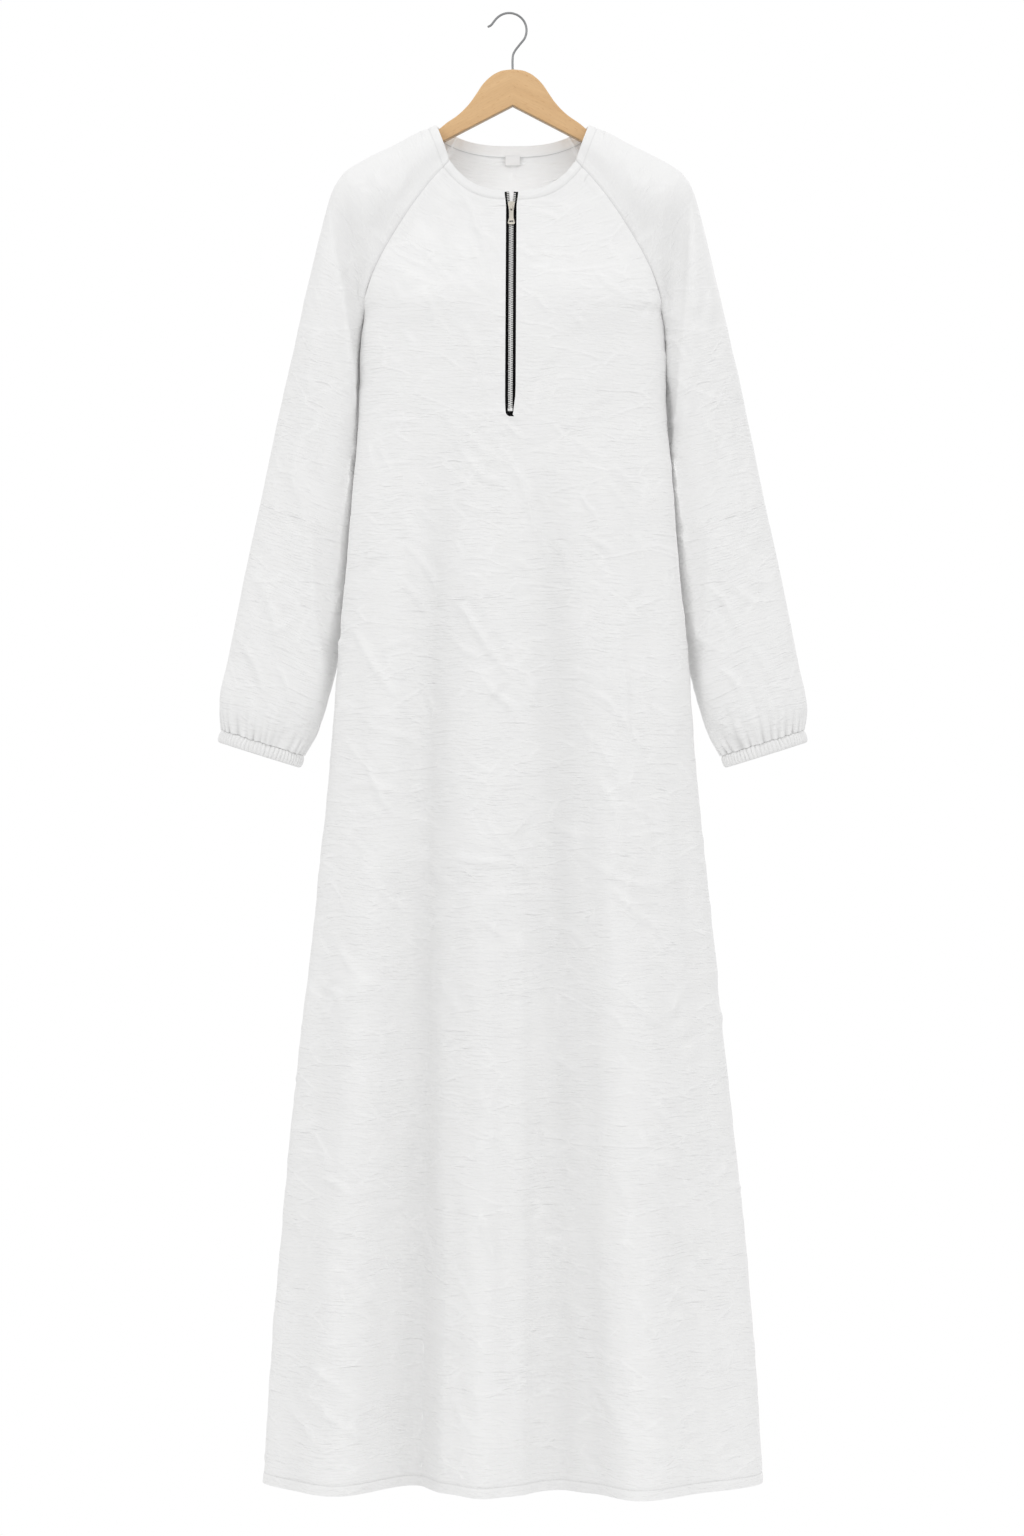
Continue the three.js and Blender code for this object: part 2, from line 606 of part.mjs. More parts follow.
// Panels stop short of their raglan and side seams, and sleeves of their raglan seams.
function seamedPanel(rows, facing) {
  return rows.map((row, i) =>
    row.map((p, j) => {
      const last = row.length - 1;
      const side = j === 0 ? -1 : 1;
      const armpitMove = new THREE.Vector3(-side, facing, 0).multiplyScalar(SEAM_PULL);
      const onSeam = j === 0 || j === last;
      const moved = onSeam ? besideSeam(rows, i, j, row[j === 0 ? 1 : last - 1], armpitMove) : p.clone();
      moved.normal = normalAt(p);
      return moved;
    }),
  );
}

function seamedSleeve(rows, side) {
  return rows.map((row, i) =>
    row.map((p, j) => {
      const last = row.length - 1;
      const armpitMove = new THREE.Vector3(side * SEAM_PULL, 0, 0);
      const onSeam = i <= RAGLAN_ROWS && (j === 0 || j === last);
      const moved = onSeam ? besideSeam(rows, i, j, row[j === 0 ? 1 : last - 1], armpitMove) : p.clone();
      moved.normal = normalAt(p);
      return moved;
    }),
  );
}

const frontCloth = seamedPanel(frontRows, -1);
const backCloth = seamedPanel(backRows, 1);
const rightCloth = seamedSleeve(rightSleeveRows, 1);
const leftCloth = seamedSleeve(leftSleeveRows, -1);
addMesh("front", closedWall(frontCloth, insideOf(frontCloth), frontFaces), "cloth");
addMesh("back", closedWall(backCloth, insideOf(backCloth), backFaces), "cloth");
addMesh("sleeve_right", closedWall(rightCloth, insideOf(rightCloth), rightFaces), "cloth");
addMesh("sleeve_left", closedWall(leftCloth, insideOf(leftCloth), leftFaces), "cloth");

// ---- neck facing: a strip inside the neck edge, from one side of the zip round the back to the other ----
function neckFacing() {
  const strips = [
    frontCloth.map((row) => row.slice(slitRight + 1)),
    rightCloth,
    backCloth.map((row) => [...row].reverse()),
    leftCloth.map((row) => [...row].reverse()),
    frontCloth.map((row) => row.slice(0, slitLeft)),
  ];
  const rings = [];
  for (const rows of strips) {
    for (let j = 0; j < rows[0].length; j++) {
      const top = rows[0][j];
      const below = rows[1][j];
      const share = Math.min(0.95, FACING.width / top.distanceTo(below));
      const normal = top.normal.clone().lerp(below.normal, share).normalize();
      rings.push({ top, topNormal: top.normal, low: top.clone().lerp(below, share), lowNormal: normal });
    }
  }
  const kept = rings.filter((r, k) => k === 0 || r.top.distanceTo(rings[k - 1].top) > 1);
  const rows = (depth) => [
    kept.map((r) => r.top.clone().addScaledVector(r.topNormal, -depth)),
    kept.map((r) => r.low.clone().addScaledVector(r.lowNormal, -depth)),
  ];
  const outside = rows(WALL + FACING.gap);
  const inside = rows(WALL + FACING.gap + FACING.thick);
  return closedWall(outside, inside, gridFaces(outside));
}
addMesh("neck_facing", neckFacing(), "cloth");

// ---- strips: a rectangle carried along a line of stations { p, out, across, width, thick } ----
function strip(stations) {
  const positions = [];
  const index = [];
  for (const { p, out, across, width, thick } of stations) {
    for (const [u, v] of [
      [-0.5, 0],
      [0.5, 0],
      [0.5, -1],
      [-0.5, -1],
    ]) {
      const q = p.clone().addScaledVector(across, u * width).addScaledVector(out, v * thick);
      positions.push(q.x, q.y, q.z);
    }
  }
  for (let i = 0; i < stations.length - 1; i++) {
    for (let k = 0; k < 4; k++) {
      const a = 4 * i + k;
      const b = 4 * i + ((k + 1) % 4);
      index.push(a, a + 4, b + 4, a, b + 4, b);
    }
  }
  const end = 4 * (stations.length - 1);
  index.push(0, 1, 2, 0, 2, 3, end, end + 2, end + 1, end, end + 3, end + 2);
  const geometry = new THREE.BufferGeometry();
  geometry.setAttribute("position", new THREE.Float32BufferAttribute(positions, 3));
  geometry.setIndex(index);
  geometry.computeVertexNormals();
  return geometry;
}

// ---- zip ----
const ACROSS = new THREE.Vector3(1, 0, 0);
// The cloth's face on the zip's line at each row of the slit, and the direction out of it.
const slitLine = [];
for (let i = 0; i <= slitLastRow; i++) {
  const face = frontCloth[i][slitLeft].clone().lerp(frontCloth[i][slitRight], 0.5);
  slitLine.push({ drop: -face.z, y: face.y });
}
function slitDepth(drop) {
  let i = 0;
  while (i < slitLine.length - 2 && drop > slitLine[i + 1].drop) i++;
  const [a, b] = [slitLine[i], slitLine[i + 1]];
  return mix(a.y, b.y, (drop - a.drop) / (b.drop - a.drop));
}

function outAt(drop) {
  const rise = slitDepth(drop - 1) - slitDepth(drop + 1);
  return new THREE.Vector3(0, -2, rise).normalize();
}
const tapeFront = WALL + GAP + 0.15; // tape's face below the cloth's face
const chainFront = tapeFront + ZIP.tapeThick / 2 - ZIP.chainThick / 2;

// A strip along the zip from one drop to another, its middle at offset(drop) from the zip's line.
function alongZip(from, to, steps, { offset, width, below, thick }) {
  const stations = [];
  for (let k = 0; k <= steps; k++) {
    const drop = mix(from, to, k / steps);
    const out = outAt(drop);
    const p = new THREE.Vector3(zipX(drop) + offset(drop), slitDepth(drop), -drop);
    p.addScaledVector(out, -below);
    stations.push({ p, out, across: ACROSS, width: width(drop), thick });
  }
  return strip(stations);
}

const branchSpread = (drop) => 2.35 * smooth((SLIDER.drop + 8 - drop) / 20) + ZIP.branchWidth / 2 + 0.2;
const tapeInner = (drop) => {
  const metal = Math.max(ZIP.chainWidth / 2, branchSpread(drop) + ZIP.branchWidth / 2);
  return metal + GAP + 0.2;
};
const tapeOuter = (drop) => zipHalfGap(Math.min(drop, ZIP.bottomDrop)) + ZIP.tapeReach;
const TAPE_TOP = NECK_FRONT_DROP + 0.5;
const CHAIN_TOP = SLIDER.drop + 6;
for (const [side, sign] of [
  ["left", -1],
  ["right", 1],
]) {
  addMesh(
    `zip_tape_${side}`,
    alongZip(TAPE_TOP, ZIP.bottomDrop + 6, 14, {
      offset: (drop) => (sign * (tapeInner(drop) + tapeOuter(drop))) / 2,
      width: (drop) => tapeOuter(drop) - tapeInner(drop),
      below: tapeFront,
      thick: ZIP.tapeThick,
    }),
    "tape",
  );
  addMesh(
    `zip_chain_${side}`,
    alongZip(TAPE_TOP + 1, CHAIN_TOP - GAP, 5, {
      offset: (drop) => sign * branchSpread(drop),
      width: () => ZIP.branchWidth,
      below: chainFront,
      thick: ZIP.chainThick,
    }),
    "zipMetal",
  );
}
addMesh(
  "zip_chain",
  alongZip(CHAIN_TOP, ZIP.bottomDrop - 9, 12, {
    offset: () => 0,
    width: () => ZIP.chainWidth,
    below: chainFront,
    thick: ZIP.chainThick,
  }),
  "zipMetal",
);
addMesh(
  "zip_stop",
  alongZip(ZIP.bottomDrop - 9 + GAP, ZIP.bottomDrop - 5.5, 1, {
    offset: () => 0,
    width: () => ZIP.chainWidth + 0.5,
    below: chainFront - 0.2,
    thick: ZIP.chainThick + 0.2,
  }),
  "zipMetal",
);

// ---- solids joined or cut ----
function solidOf(geometry) {
  const bare = geometry.clone();
  bare.deleteAttribute("normal");
  bare.deleteAttribute("uv");
  const merged = mergeVertices(bare, 1e-4);
  return new wasm.Manifold(
    new wasm.Mesh({
      numProp: 3,
      vertProperties: new Float32Array(merged.attributes.position.array),
      triVerts: new Uint32Array(merged.index.array),
    }),
  );
}
function geometryOf(solid) {
  const mesh = solid.getMesh();
  const geometry = new THREE.BufferGeometry();
  geometry.setAttribute("position", new THREE.BufferAttribute(new Float32Array(mesh.vertProperties), 3));
  geometry.setIndex(new THREE.BufferAttribute(new Uint32Array(mesh.triVerts), 1));
  geometry.computeVertexNormals();
  return geometry;
}

// ---- slider and pull, drawn flat (x across, y up the zip, z out of it) and set on the zip ----
function slab(shape, thick, z0) {
  const geometry = new THREE.ExtrudeGeometry(shape, { depth: thick, bevelEnabled: false, curveSegments: 6 });
  return geometry.translate(0, 0, z0);
}

function sliderSolid() {
  const { width: w, height: h, plate } = SLIDER;
  const shape = new THREE.Shape();
  shape.moveTo(-w * 0.3, -h / 2);
  shape.lineTo(w * 0.3, -h / 2);
  shape.lineTo(w * 0.42, -h * 0.1);
  shape.lineTo(w / 2, h * 0.2);
  shape.lineTo(w * 0.46, h / 2);
  shape.lineTo(-w * 0.46, h / 2);
  shape.lineTo(-w / 2, h * 0.2);
  shape.lineTo(-w * 0.42, -h * 0.1);
  shape.closePath();
  const inside = ZIP.chainThick + 2 * GAP;
  const post = new THREE.BoxGeometry(1, 1.4, inside + plate).translate(0, h / 2 - 0.7, -(inside + plate) / 2);
  const arch = new THREE.Shape();
  arch.moveTo(-BRIDGE.half, 0);
  arch.lineTo(-BRIDGE.half, BRIDGE.height - 1);
  arch.lineTo(-BRIDGE.half + 1, BRIDGE.height);
  arch.lineTo(BRIDGE.half - 1, BRIDGE.height);
  arch.lineTo(BRIDGE.half, BRIDGE.height - 1);
  arch.lineTo(BRIDGE.half, 0);
  const hole = new THREE.Path();
  hole.moveTo(-BRIDGE.opening, 0.15);
  hole.lineTo(BRIDGE.opening, 0.15);
  hole.lineTo(BRIDGE.opening, BRIDGE.inside);
  hole.lineTo(-BRIDGE.opening, BRIDGE.inside);
  arch.closePath();
  arch.holes.push(hole);
  const bridge = slab(arch, BRIDGE.thick, -BRIDGE.thick / 2)
    .rotateY(Math.PI / 2)
    .rotateX(Math.PI / 2)
    .translate(0, PIVOT.up, 0);
  return solidOf(slab(shape, plate, -plate))
    .add(solidOf(slab(shape, plate, -2 * plate - inside)))
    .add(solidOf(post.translate(0, 0, -plate / 2)))
    .add(solidOf(bridge));
}

function pullSolid() {
  const { bar, length, top, bottom, corner } = PULL;
  const shape = new THREE.Shape();
  shape.moveTo(-top / 2, bar);
  shape.lineTo(-top / 2, -PULL.eye - 1.3);
  shape.lineTo(-top * 0.46, -PULL.neck);
  shape.lineTo(-bottom / 2, -length + corner);
  shape.absarc(-bottom / 2 + corner, -length + corner, corner, Math.PI, 1.5 * Math.PI, false);
  shape.absarc(bottom / 2 - corner, -length + corner, corner, 1.5 * Math.PI, 2 * Math.PI, false);
  shape.lineTo(top * 0.46, -PULL.neck);
  shape.lineTo(top / 2, -PULL.eye - 1.3);
  shape.lineTo(top / 2, bar);
  shape.closePath();
  const eye = new THREE.Path();
  eye.moveTo(-PULL.eyeWidth / 2, -bar);
  eye.lineTo(PULL.eyeWidth / 2, -bar);
  eye.lineTo(PULL.eyeWidth / 2, -PULL.eye);
  eye.lineTo(-PULL.eyeWidth / 2, -PULL.eye);
  const slot = new THREE.Path();
  slot.moveTo(-PULL.slotHalf, -length + PULL.slotFrom);
  slot.lineTo(PULL.slotHalf, -length + PULL.slotFrom);
  slot.lineTo(PULL.slotHalf, -length + PULL.slotTo);
  slot.lineTo(-PULL.slotHalf, -length + PULL.slotTo);
  shape.holes.push(eye, slot);
  return solidOf(slab(shape, PULL.thick, -PULL.thick / 2));
}

// The slider's frame: its face lies just in front of the chain, square to the zip.
const sliderFrame = new THREE.Group();
const sliderOut = outAt(SLIDER.drop);
const sliderTilt = Math.atan2(sliderOut.z, -sliderOut.y);
sliderFrame.position
  .set(zipX(SLIDER.drop), slitDepth(SLIDER.drop), -SLIDER.drop)
  .addScaledVector(sliderOut, -chainFront + GAP + SLIDER.plate);
sliderFrame.rotation.x = Math.PI / 2 - sliderTilt;
group.add(sliderFrame);
addMesh("zip_slider", geometryOf(sliderSolid()), "zipMetal", sliderFrame);
const pull = addMesh("zip_pull", geometryOf(pullSolid()), "zipMetal", sliderFrame);
pull.position.set(0, PIVOT.up, PIVOT.out);

// ---- label: a blank loop of tape below the back facing ----
{
  const column = backCloth[0][BACK_HALF_COLUMNS];
  const below = backCloth[1][BACK_HALF_COLUMNS];
  const down = below.clone().sub(column).normalize();
  const out = column.normal.clone().negate();
  const station = (fall) => ({
    p: column
      .clone()
      .addScaledVector(down, fall)
      .addScaledVector(out, WALL + GAP + LABEL.thick),
    out,
    across: ACROSS,
    width: LABEL.width,
    thick: LABEL.thick,
  });
  const from = FACING.width + GAP;
  addMesh("label", strip([station(from), station(from + LABEL.height)]), "cloth");
}

// ---- cuffs: elastic in a ribbed casing ----
function cuffGeometry(sign) {
  const ring = tubeRow(1, CUFF.ribs);
  const inner = ring[0];
  const outer = ring[CUFF.ribs];
  const centre = inner.clone().lerp(outer, 0.5);
  const along = outer.clone().sub(inner).normalize();
  const down = new THREE.Vector3(along.z, 0, -along.x);
  const half = inner.distanceTo(outer) / 2;
  const count = 2 * CUFF.ribs;
  const level = (fall, grow, ribs) =>
    Array.from({ length: count + 1 }, (_, k) => {
      const angle = (2 * Math.PI * (k % count)) / count;
      const rib = ribs * (k % 2 ? 0 : CUFF.ribHeight * (0.75 + 0.25 * Math.sin(k * 1.7)));
      const u = -(half + grow + rib) * Math.cos(angle);
      const v = -(CUFF.halfDepth + grow + rib) * Math.sin(angle);
      const p = centre.clone().addScaledVector(along, u).addScaledVector(down, fall);
      return new THREE.Vector3(sign * p.x, v, p.z);
    });
  const top = 2 * GAP;
  const outside = [level(top, -0.4, 0.6), level(CUFF.height / 2, CUFF.bulge, 1), level(CUFF.height, 0, 0.6)];
  const inside = [
    level(top, -CUFF.thick, 0),
    level(CUFF.height / 2, CUFF.bulge - CUFF.thick, 0),
    level(CUFF.height, -CUFF.thick, 0),
  ];
  return closedWall(outside, inside, gridFaces(outside, { closedFrom: 0, flip: sign < 0 }));
}
addMesh("cuff_right", cuffGeometry(1), "cloth");
addMesh("cuff_left", cuffGeometry(-1), "cloth");

// ---- hanger ----
// Under the shoulder the wood follows the cloth's ridge, a seat's gap inside it.
function hangerOutline() {
  const seat = (x) => WALL + GAP + (x < 94 ? FACING.thick + 3 : 2.2);
  const ridge = curve(SHOULDER, "x", "drop");
  const top = [...HANGER_TOP];
  for (let x = 82; x <= HANGER.halfWidth - 8; x += 10) {
    const slope = ridge(x + 1) - ridge(x - 1);
    top.push({ x, drop: ridge(x) + seat(x) * Math.hypot(1, slope / 2) });
  }
  const tip = top[top.length - 1];
  const right = [
    ...top,
    { x: HANGER.halfWidth - 3, drop: tip.drop + 4 },
    { x: HANGER.halfWidth - 1.5, drop: tip.drop + 9 },
    { x: HANGER.halfWidth - 5, drop: tip.drop + 14 },
    ...[...HANGER_UNDER].reverse(),
  ];
  const left = right
    .slice(1, -1)
    .reverse()
    .map(({ x, drop }) => ({ x: -x, drop }));
  return [...right, ...left].map(({ x, drop }) => new THREE.Vector2(x, -drop));
}

function hangerSolid() {
  const bevel = HANGER.edge;
  const bar = new THREE.ExtrudeGeometry(new THREE.Shape(hangerOutline().reverse()), {
    depth: HANGER.thick - 2 * bevel,
    bevelThickness: bevel,
    bevelSize: bevel,
    bevelOffset: -bevel,
    bevelSegments: 2,
  })
    .translate(0, 0, -(HANGER.thick - 2 * bevel) / 2)
    .rotateX(Math.PI / 2);
  const crown = HANGER_TOP[0].drop;
  const hole = new THREE.CylinderGeometry(HANGER.holeRadius, HANGER.holeRadius, HANGER.stemDepth + 20, 10)
    .rotateX(Math.PI / 2)
    .translate(0, 0, -crown + 10 - HANGER.stemDepth / 2 - 0.4);
  return solidOf(bar).subtract(solidOf(hole));
}
addMesh("hanger", geometryOf(hangerSolid()), "wood");

function hookGeometry() {
  const wire = HOOK.wire / 2;
  const inside = HOOK.radius - wire;
  const centreZ = -Math.sqrt(inside ** 2 - HOOK.centreX ** 2); // so that the rail bears at the origin
  const stemFoot = HANGER_TOP[0].drop + HANGER.stemDepth;
  const points = HOOK_BEND.map(({ x, drop }, k) => new THREE.Vector3(x, 0, k ? -drop : -stemFoot));
  for (let degrees = -30; degrees <= 135; degrees += 15) {
    const a = THREE.MathUtils.degToRad(degrees);
    points.push(
      new THREE.Vector3(HOOK.centreX + HOOK.radius * Math.cos(a), 0, centreZ + HOOK.radius * Math.sin(a)),
    );
  }
  for (const { x, drop } of HOOK_TIP) points.push(new THREE.Vector3(x, 0, -drop));
  const path = new THREE.CatmullRomCurve3(points, false, "centripetal");
  const section = new THREE.Shape();
  section.absarc(0, 0, wire, 0, 2 * Math.PI, false);
  return new THREE.ExtrudeGeometry(section, { steps: 34, extrudePath: path, curveSegments: 8 });
}
addMesh("hook", hookGeometry(), "steel");

export default group;
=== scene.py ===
"""The looks of a long white crinkled abaya on a pale wooden hanger.

The front, the back and two raglan sleeves are thin shells of cloth on the frame's forms, with the main
creases, seam puckers, gathers and turned edges worked into them. Elastic cuffs, the neck facing, a blank
label, stitches, a metal half zip on black tape, the wooden bar and its wire hook finish it.
Tables and sizes are in millimetres, as in the part's source, with drop as the distance below the rail;
meshes are made in metres. x is across, the front looks towards -Y, and +Z is up.
"""

import math

import bmesh
import bpy
import numpy as np
from mathutils import Matrix, Vector


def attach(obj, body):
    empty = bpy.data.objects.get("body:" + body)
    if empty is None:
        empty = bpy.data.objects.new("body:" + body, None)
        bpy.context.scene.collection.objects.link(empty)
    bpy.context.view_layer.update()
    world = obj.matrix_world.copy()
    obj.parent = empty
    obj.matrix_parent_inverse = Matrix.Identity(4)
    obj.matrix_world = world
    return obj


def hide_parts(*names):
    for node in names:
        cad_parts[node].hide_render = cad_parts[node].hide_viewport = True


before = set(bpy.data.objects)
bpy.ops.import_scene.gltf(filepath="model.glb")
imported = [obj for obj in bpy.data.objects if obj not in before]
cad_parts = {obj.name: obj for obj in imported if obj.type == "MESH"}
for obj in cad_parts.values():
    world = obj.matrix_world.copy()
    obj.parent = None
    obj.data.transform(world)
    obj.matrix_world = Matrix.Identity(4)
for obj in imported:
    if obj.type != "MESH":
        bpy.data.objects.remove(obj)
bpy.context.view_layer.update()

MM = 0.001
RIGHT, LEFT = 1, -1
GARMENT, PULL_TAB = "garment", "pull_tab"

# ---- driving sizes, as in the part's source ----
WALL = 1.2
GAP = 0.35
HEM_DROP = 1543
ARMPIT_DROP = 320
ZIP_FOOT_DROP = 429
NECK_FRONT_DROP = 190.5
NECK_BACK_DROP = 135
FACING_WIDTH = 12
LABEL_WIDTH = 16.5
LABEL_HEIGHT = 8.6
NECK_BAND = 9.2  # from the neck's edge to its line of stitches
HEM_BAND = 10.5
SEAM_LIFT = 1.2  # cloth stands this much above its seams
HANGER_HALF_WIDTH = 172
HANGER_HALF_THICK = 6
HOOK_WIRE = 1.2
CUFF_HALF_DEPTH = 20
CUFF_RIBS = 64
FOOT_ROUND = 4.5  # height over which the zip's opening rounds off at its foot
FOOT_HALF = 0.8  # half the opening left at its foot
STRIP_OPENS = 16  # height over which the plain strip below the foot widens
FOLDS_DROP = 420  # the folds spread from here to the hem
STITCH_LENGTH = 2.1
STITCH_THICK = 0.42
STITCH_LIFT = 0.12
HEM_ZONE = 20  # finer rows over this height above the hem
LABEL_TUCK = 1.5  # the label's top, hidden behind the facing


# ---- small sums ----
def clamp(v):
    return np.clip(v, 0, 1)


def smooth(v):
    return clamp(v) ** 2 * (3 - 2 * clamp(v))


def mix(a, b, share):
    return a + (b - a) * share


def smooth_curve(keys, values):
    """A smooth curve through a table's column, without overshoot (monotone cubic)."""
    keys, values = np.asarray(keys, float), np.asarray(values, float)
    slopes = np.diff(values) / np.diff(keys)
    before = np.concatenate([slopes[:1], slopes])
    after = np.concatenate([slopes, slopes[-1:]])
    total = np.where(before + after == 0, 1, before + after)
    tangents = np.where(before * after > 0, 2 * before * after / total, 0)

    def at(place):
        x = np.clip(place, keys[0], keys[-1])
        i = np.clip(np.searchsorted(keys, x) - 1, 0, len(keys) - 2)
        h = keys[i + 1] - keys[i]
        u = (x - keys[i]) / h
        start = values[i] * (1 + 2 * u) * (1 - u) ** 2 + tangents[i] * h * u * (1 - u) ** 2
        end = values[i + 1] * u * u * (3 - 2 * u) + tangents[i + 1] * h * u * u * (u - 1)
        return start + end

    return at


class Table:
    """A short table. Each column after the first becomes a smooth curve over the first, by its name."""

    def __init__(self, names, *rows):
        keys = [row[0] for row in rows]
        for k, name in enumerate(names.split()[1:], 1):
            setattr(self, name, smooth_curve(keys, [row[k] for row in rows]))


def uneven(across, down, wide, tall, seed):
    """Smooth unevenness from -1 to 1 in patches wide by tall, the same on each run."""
    lattice = np.random.RandomState(seed).uniform(-1, 1, (61, 67))
    x, y = across / wide + 500.3, down / tall + 500.7
    i, j = np.floor(x).astype(int), np.floor(y).astype(int)
    fx, fy = smooth(x - i), smooth(y - j)

    def corner(di, dj):
        return lattice[(i + di) % 61, (j + dj) % 67]

    return mix(mix(corner(0, 0), corner(1, 0), fx), mix(corner(0, 1), corner(1, 1), fx), fy)


def lengths(points, axis):
    """Distance run along a grid's rows (axis 1) or columns (axis 0), from its first point."""
    steps = np.linalg.norm(np.diff(points, axis=axis), axis=2)
    run = np.cumsum(steps, axis=axis)
    return np.insert(run, 0, 0, axis=axis)


def spaced(*stretches):
    """Stations through stretches (start, end, count), each without its end but the last."""
    stations = [np.linspace(a, b, n, endpoint=False) for a, b, n in stretches]
    return np.append(np.concatenate(stations), stretches[-1][1])


# ---- the garment's form ----
BODY = Table(
    "drop half front back turn_in folds",
    (320, 154.9, 47.5, 40, 0, 0),
    (345, 159.5, 48.2, 41.5, 11, 0),
    (370, 161, 48.6, 42.5, 18, 0),
    (410, 161.5, 49, 44, 21, 0),
    (460, 165, 50, 46, 22, 0.02),
    (565, 173.5, 54, 49, 22, 0.09),
    (675, 183.5, 57, 52, 20, 0.18),
    (775, 191, 59, 55, 16, 0.28),
    (933, 207, 62, 59, 13, 0.42),
    (1102, 224, 65, 64, 11, 0.58),
    (1271, 242, 68, 70, 10, 0.75),
    (1439, 256, 71, 76, 9, 0.91),
    (1543, 261.5, 73, 80, 8, 1),
)
# Fold crests (+) and troughs (-): x at chest level, x at the hem, height at the hem.
FRONT_FOLDS = (
    (-158, -262, 0),
    (-118, -190, 35),
    (-82, -100, -38),
    (-62, -70, 4),
    (-26, -30, 31),
    (44, 50, -17),
    (68, 78, 2),
    (96, 130, 46),
    (132, 210, 12),
    (158, 262, 0),
)
BACK_FOLDS = (
    (-158, -262, 0),
    (-112, -176, 24),
    (-66, -98, -24),
    (-8, -10, 25),
    (52, 80, -25),
    (104, 168, 22),
    (158, 262, 0),
)
FRONT_SEAM = Table(
    "t x drop depth centre round",
    (0, 66.4, 157.5, 20.5, 26, 1),
    (0.15, 83.6, 176, 22.5, 29, 1),
    (0.33, 104, 202.5, 25, 33, 1),
    (0.5, 123.4, 232.5, 27, 37, 1),
    (0.67, 139.5, 261, 27.5, 41, 0.9),
    (0.8, 149.2, 283.5, 26, 44.5, 0.7),
    (0.92, 154.4, 304.5, 18, 46.5, 0.45),
    (1, 154.9, 320, 0, 47.5, 0.25),
)
BACK_SEAM = Table(
    "t x drop depth centre round",
    (0, 60, 125.5, 19, 21, 1),
    (0.15, 76, 151, 21, 25, 1),
    (0.33, 97, 183, 23, 28.5, 1),
    (0.5, 117, 214, 24.5, 32, 1),
    (0.67, 135, 247, 25, 35, 0.9),
    (0.8, 146, 274, 22, 37, 0.7),
    (0.92, 153, 300, 14, 39, 0.45),
    (1, 154.9, 320, 0, 40, 0.25),
)
SHOULDER = Table(
    "t x drop front back sharp",
    (0, 80, 118, 21, 19, 0.8),
    (0.12, 100, 125.8, 24, 21, 0.8),
    (0.25, 123, 138, 27, 23, 0.78),
    (0.38, 146, 149, 29, 25, 0.75),
    (0.48, 163, 158, 30, 26, 0.7),
    (0.56, 176, 166.5, 31, 27, 0.62),
    (0.64, 184.5, 177, 32, 28, 0.56),
    (0.72, 191, 191, 33, 29, 0.52),
    (0.8, 197, 212, 34, 30, 0.5),
    (0.88, 204.5, 241, 35, 31, 0.5),
    (0.94, 211, 268, 36, 32, 0.5),
    (1, 218.5, 301, 37, 33, 0.5),
)
DROP_FOLD = Table(
    "drop x width depth",
    (180, 173, 9, 0),
    (215, 174, 11, 7),
    (255, 171, 12, 12),
    (290, 165, 11, 12),
    (330, 160, 9, 0),
)
SLEEVE = Table(
    "s near_x near near_y far_x far front back turn",
    (0, 154.9, 320, 0, 218.5, 301, 37, 33, 0.3),
    (0.06, 156.5, 347, 9, 224.5, 326, 37, 34, 0.24),
    (0.13, 156.8, 378, 12, 231, 356, 36, 35, 0.22),
    (0.18, 157.8, 400, 13, 236, 377, 35, 36, 0.24),
    (0.33, 160.5, 470, 13, 250.5, 443, 31, 38, 0.36),
    (0.49, 166, 545, 13, 265, 514, 29, 39, 0.42),
    (0.64, 174.5, 615, 11, 279.5, 581, 29, 38, 0.36),
    (0.77, 183.5, 674, 8, 291, 637, 29, 35, 0.3),
    (0.87, 194.5, 719, 4, 300.5, 684, 28, 32, 0.28),
    (0.95, 208, 760, 0, 309.5, 730, 25, 27, 0.4),
    (1, 220.4, 781, 0, 306.4, 754, 20.4, 20.4, 0.5),
)
# The wooden bar's upper edge from its crown until it meets the cloth, its under edge, and the cloth's
# ridge that it carries, each as x out and drop.
HANGER_CROWN = (
    (0, 58.5),
    (10, 59.6),
    (18.3, 62.8),
    (25.1, 67.6),
    (31.8, 74.6),
    (37.6, 83.2),
    (44, 92.5),
    (50.7, 100.2),
    (58.7, 107.4),
    (69.5, 114.8),
)
HANGER_UNDER = ((0, 97.1), (74, 135.4), (120, 158), (158, 174.5))
HANGER_SEAT = ((80, 118), (100, 125.8), (123, 138), (146, 149), (163, 158), (176, 166.5))
HOOK_STEM = ((0, 78.5), (0, 62), (0, 45.5), (2.3, 38.6), (7.4, 31.8))
HOOK_TIP = ((-19.6, 7.2), (-22.8, 11.2), (-26.6, 13.2))
HOOK_RADIUS = 18.3
HOOK_CENTRE_X = -3.7


# Painted shade in the troughs between the folds: x at chest level, x at the hem, half width at the hem, where
# it starts, depth.
FRONT_PAINTED_SHADE = (
    (-68, -86, 27, 380, 0.42),
    (40, 74, 36, 420, 0.42),
    (150, 178, 20, 620, 0.12),
    (-150, -222, 18, 900, 0.15),
)
BACK_PAINTED_SHADE = (
    (-66, -98, 34, 420, 0.45),
    (52, 80, 34, 420, 0.45),
    (-150, -230, 24, 800, 0.2),
    (150, 230, 24, 800, 0.2),
)


class Panel:
    """What sets the front apart from the back."""

    def __init__(self, facing, seam, depth, folds, neck_drop):
        self.facing = facing
        self.seam = seam
        self.depth = depth
        self.folds = folds
        self.neck_drop = neck_drop


FRONT = Panel(-1, FRONT_SEAM, BODY.front, FRONT_FOLDS, NECK_FRONT_DROP)
BACK = Panel(1, BACK_SEAM, BODY.back, BACK_FOLDS, NECK_BACK_DROP)


def turned_in(y):
    return smooth((y + 22) / 47)


def fold_share(drop):
    """How far down the folds a level lies: 0 at chest level, 1 at the hem."""
    return clamp((drop - FOLDS_DROP) / (HEM_DROP - FOLDS_DROP))


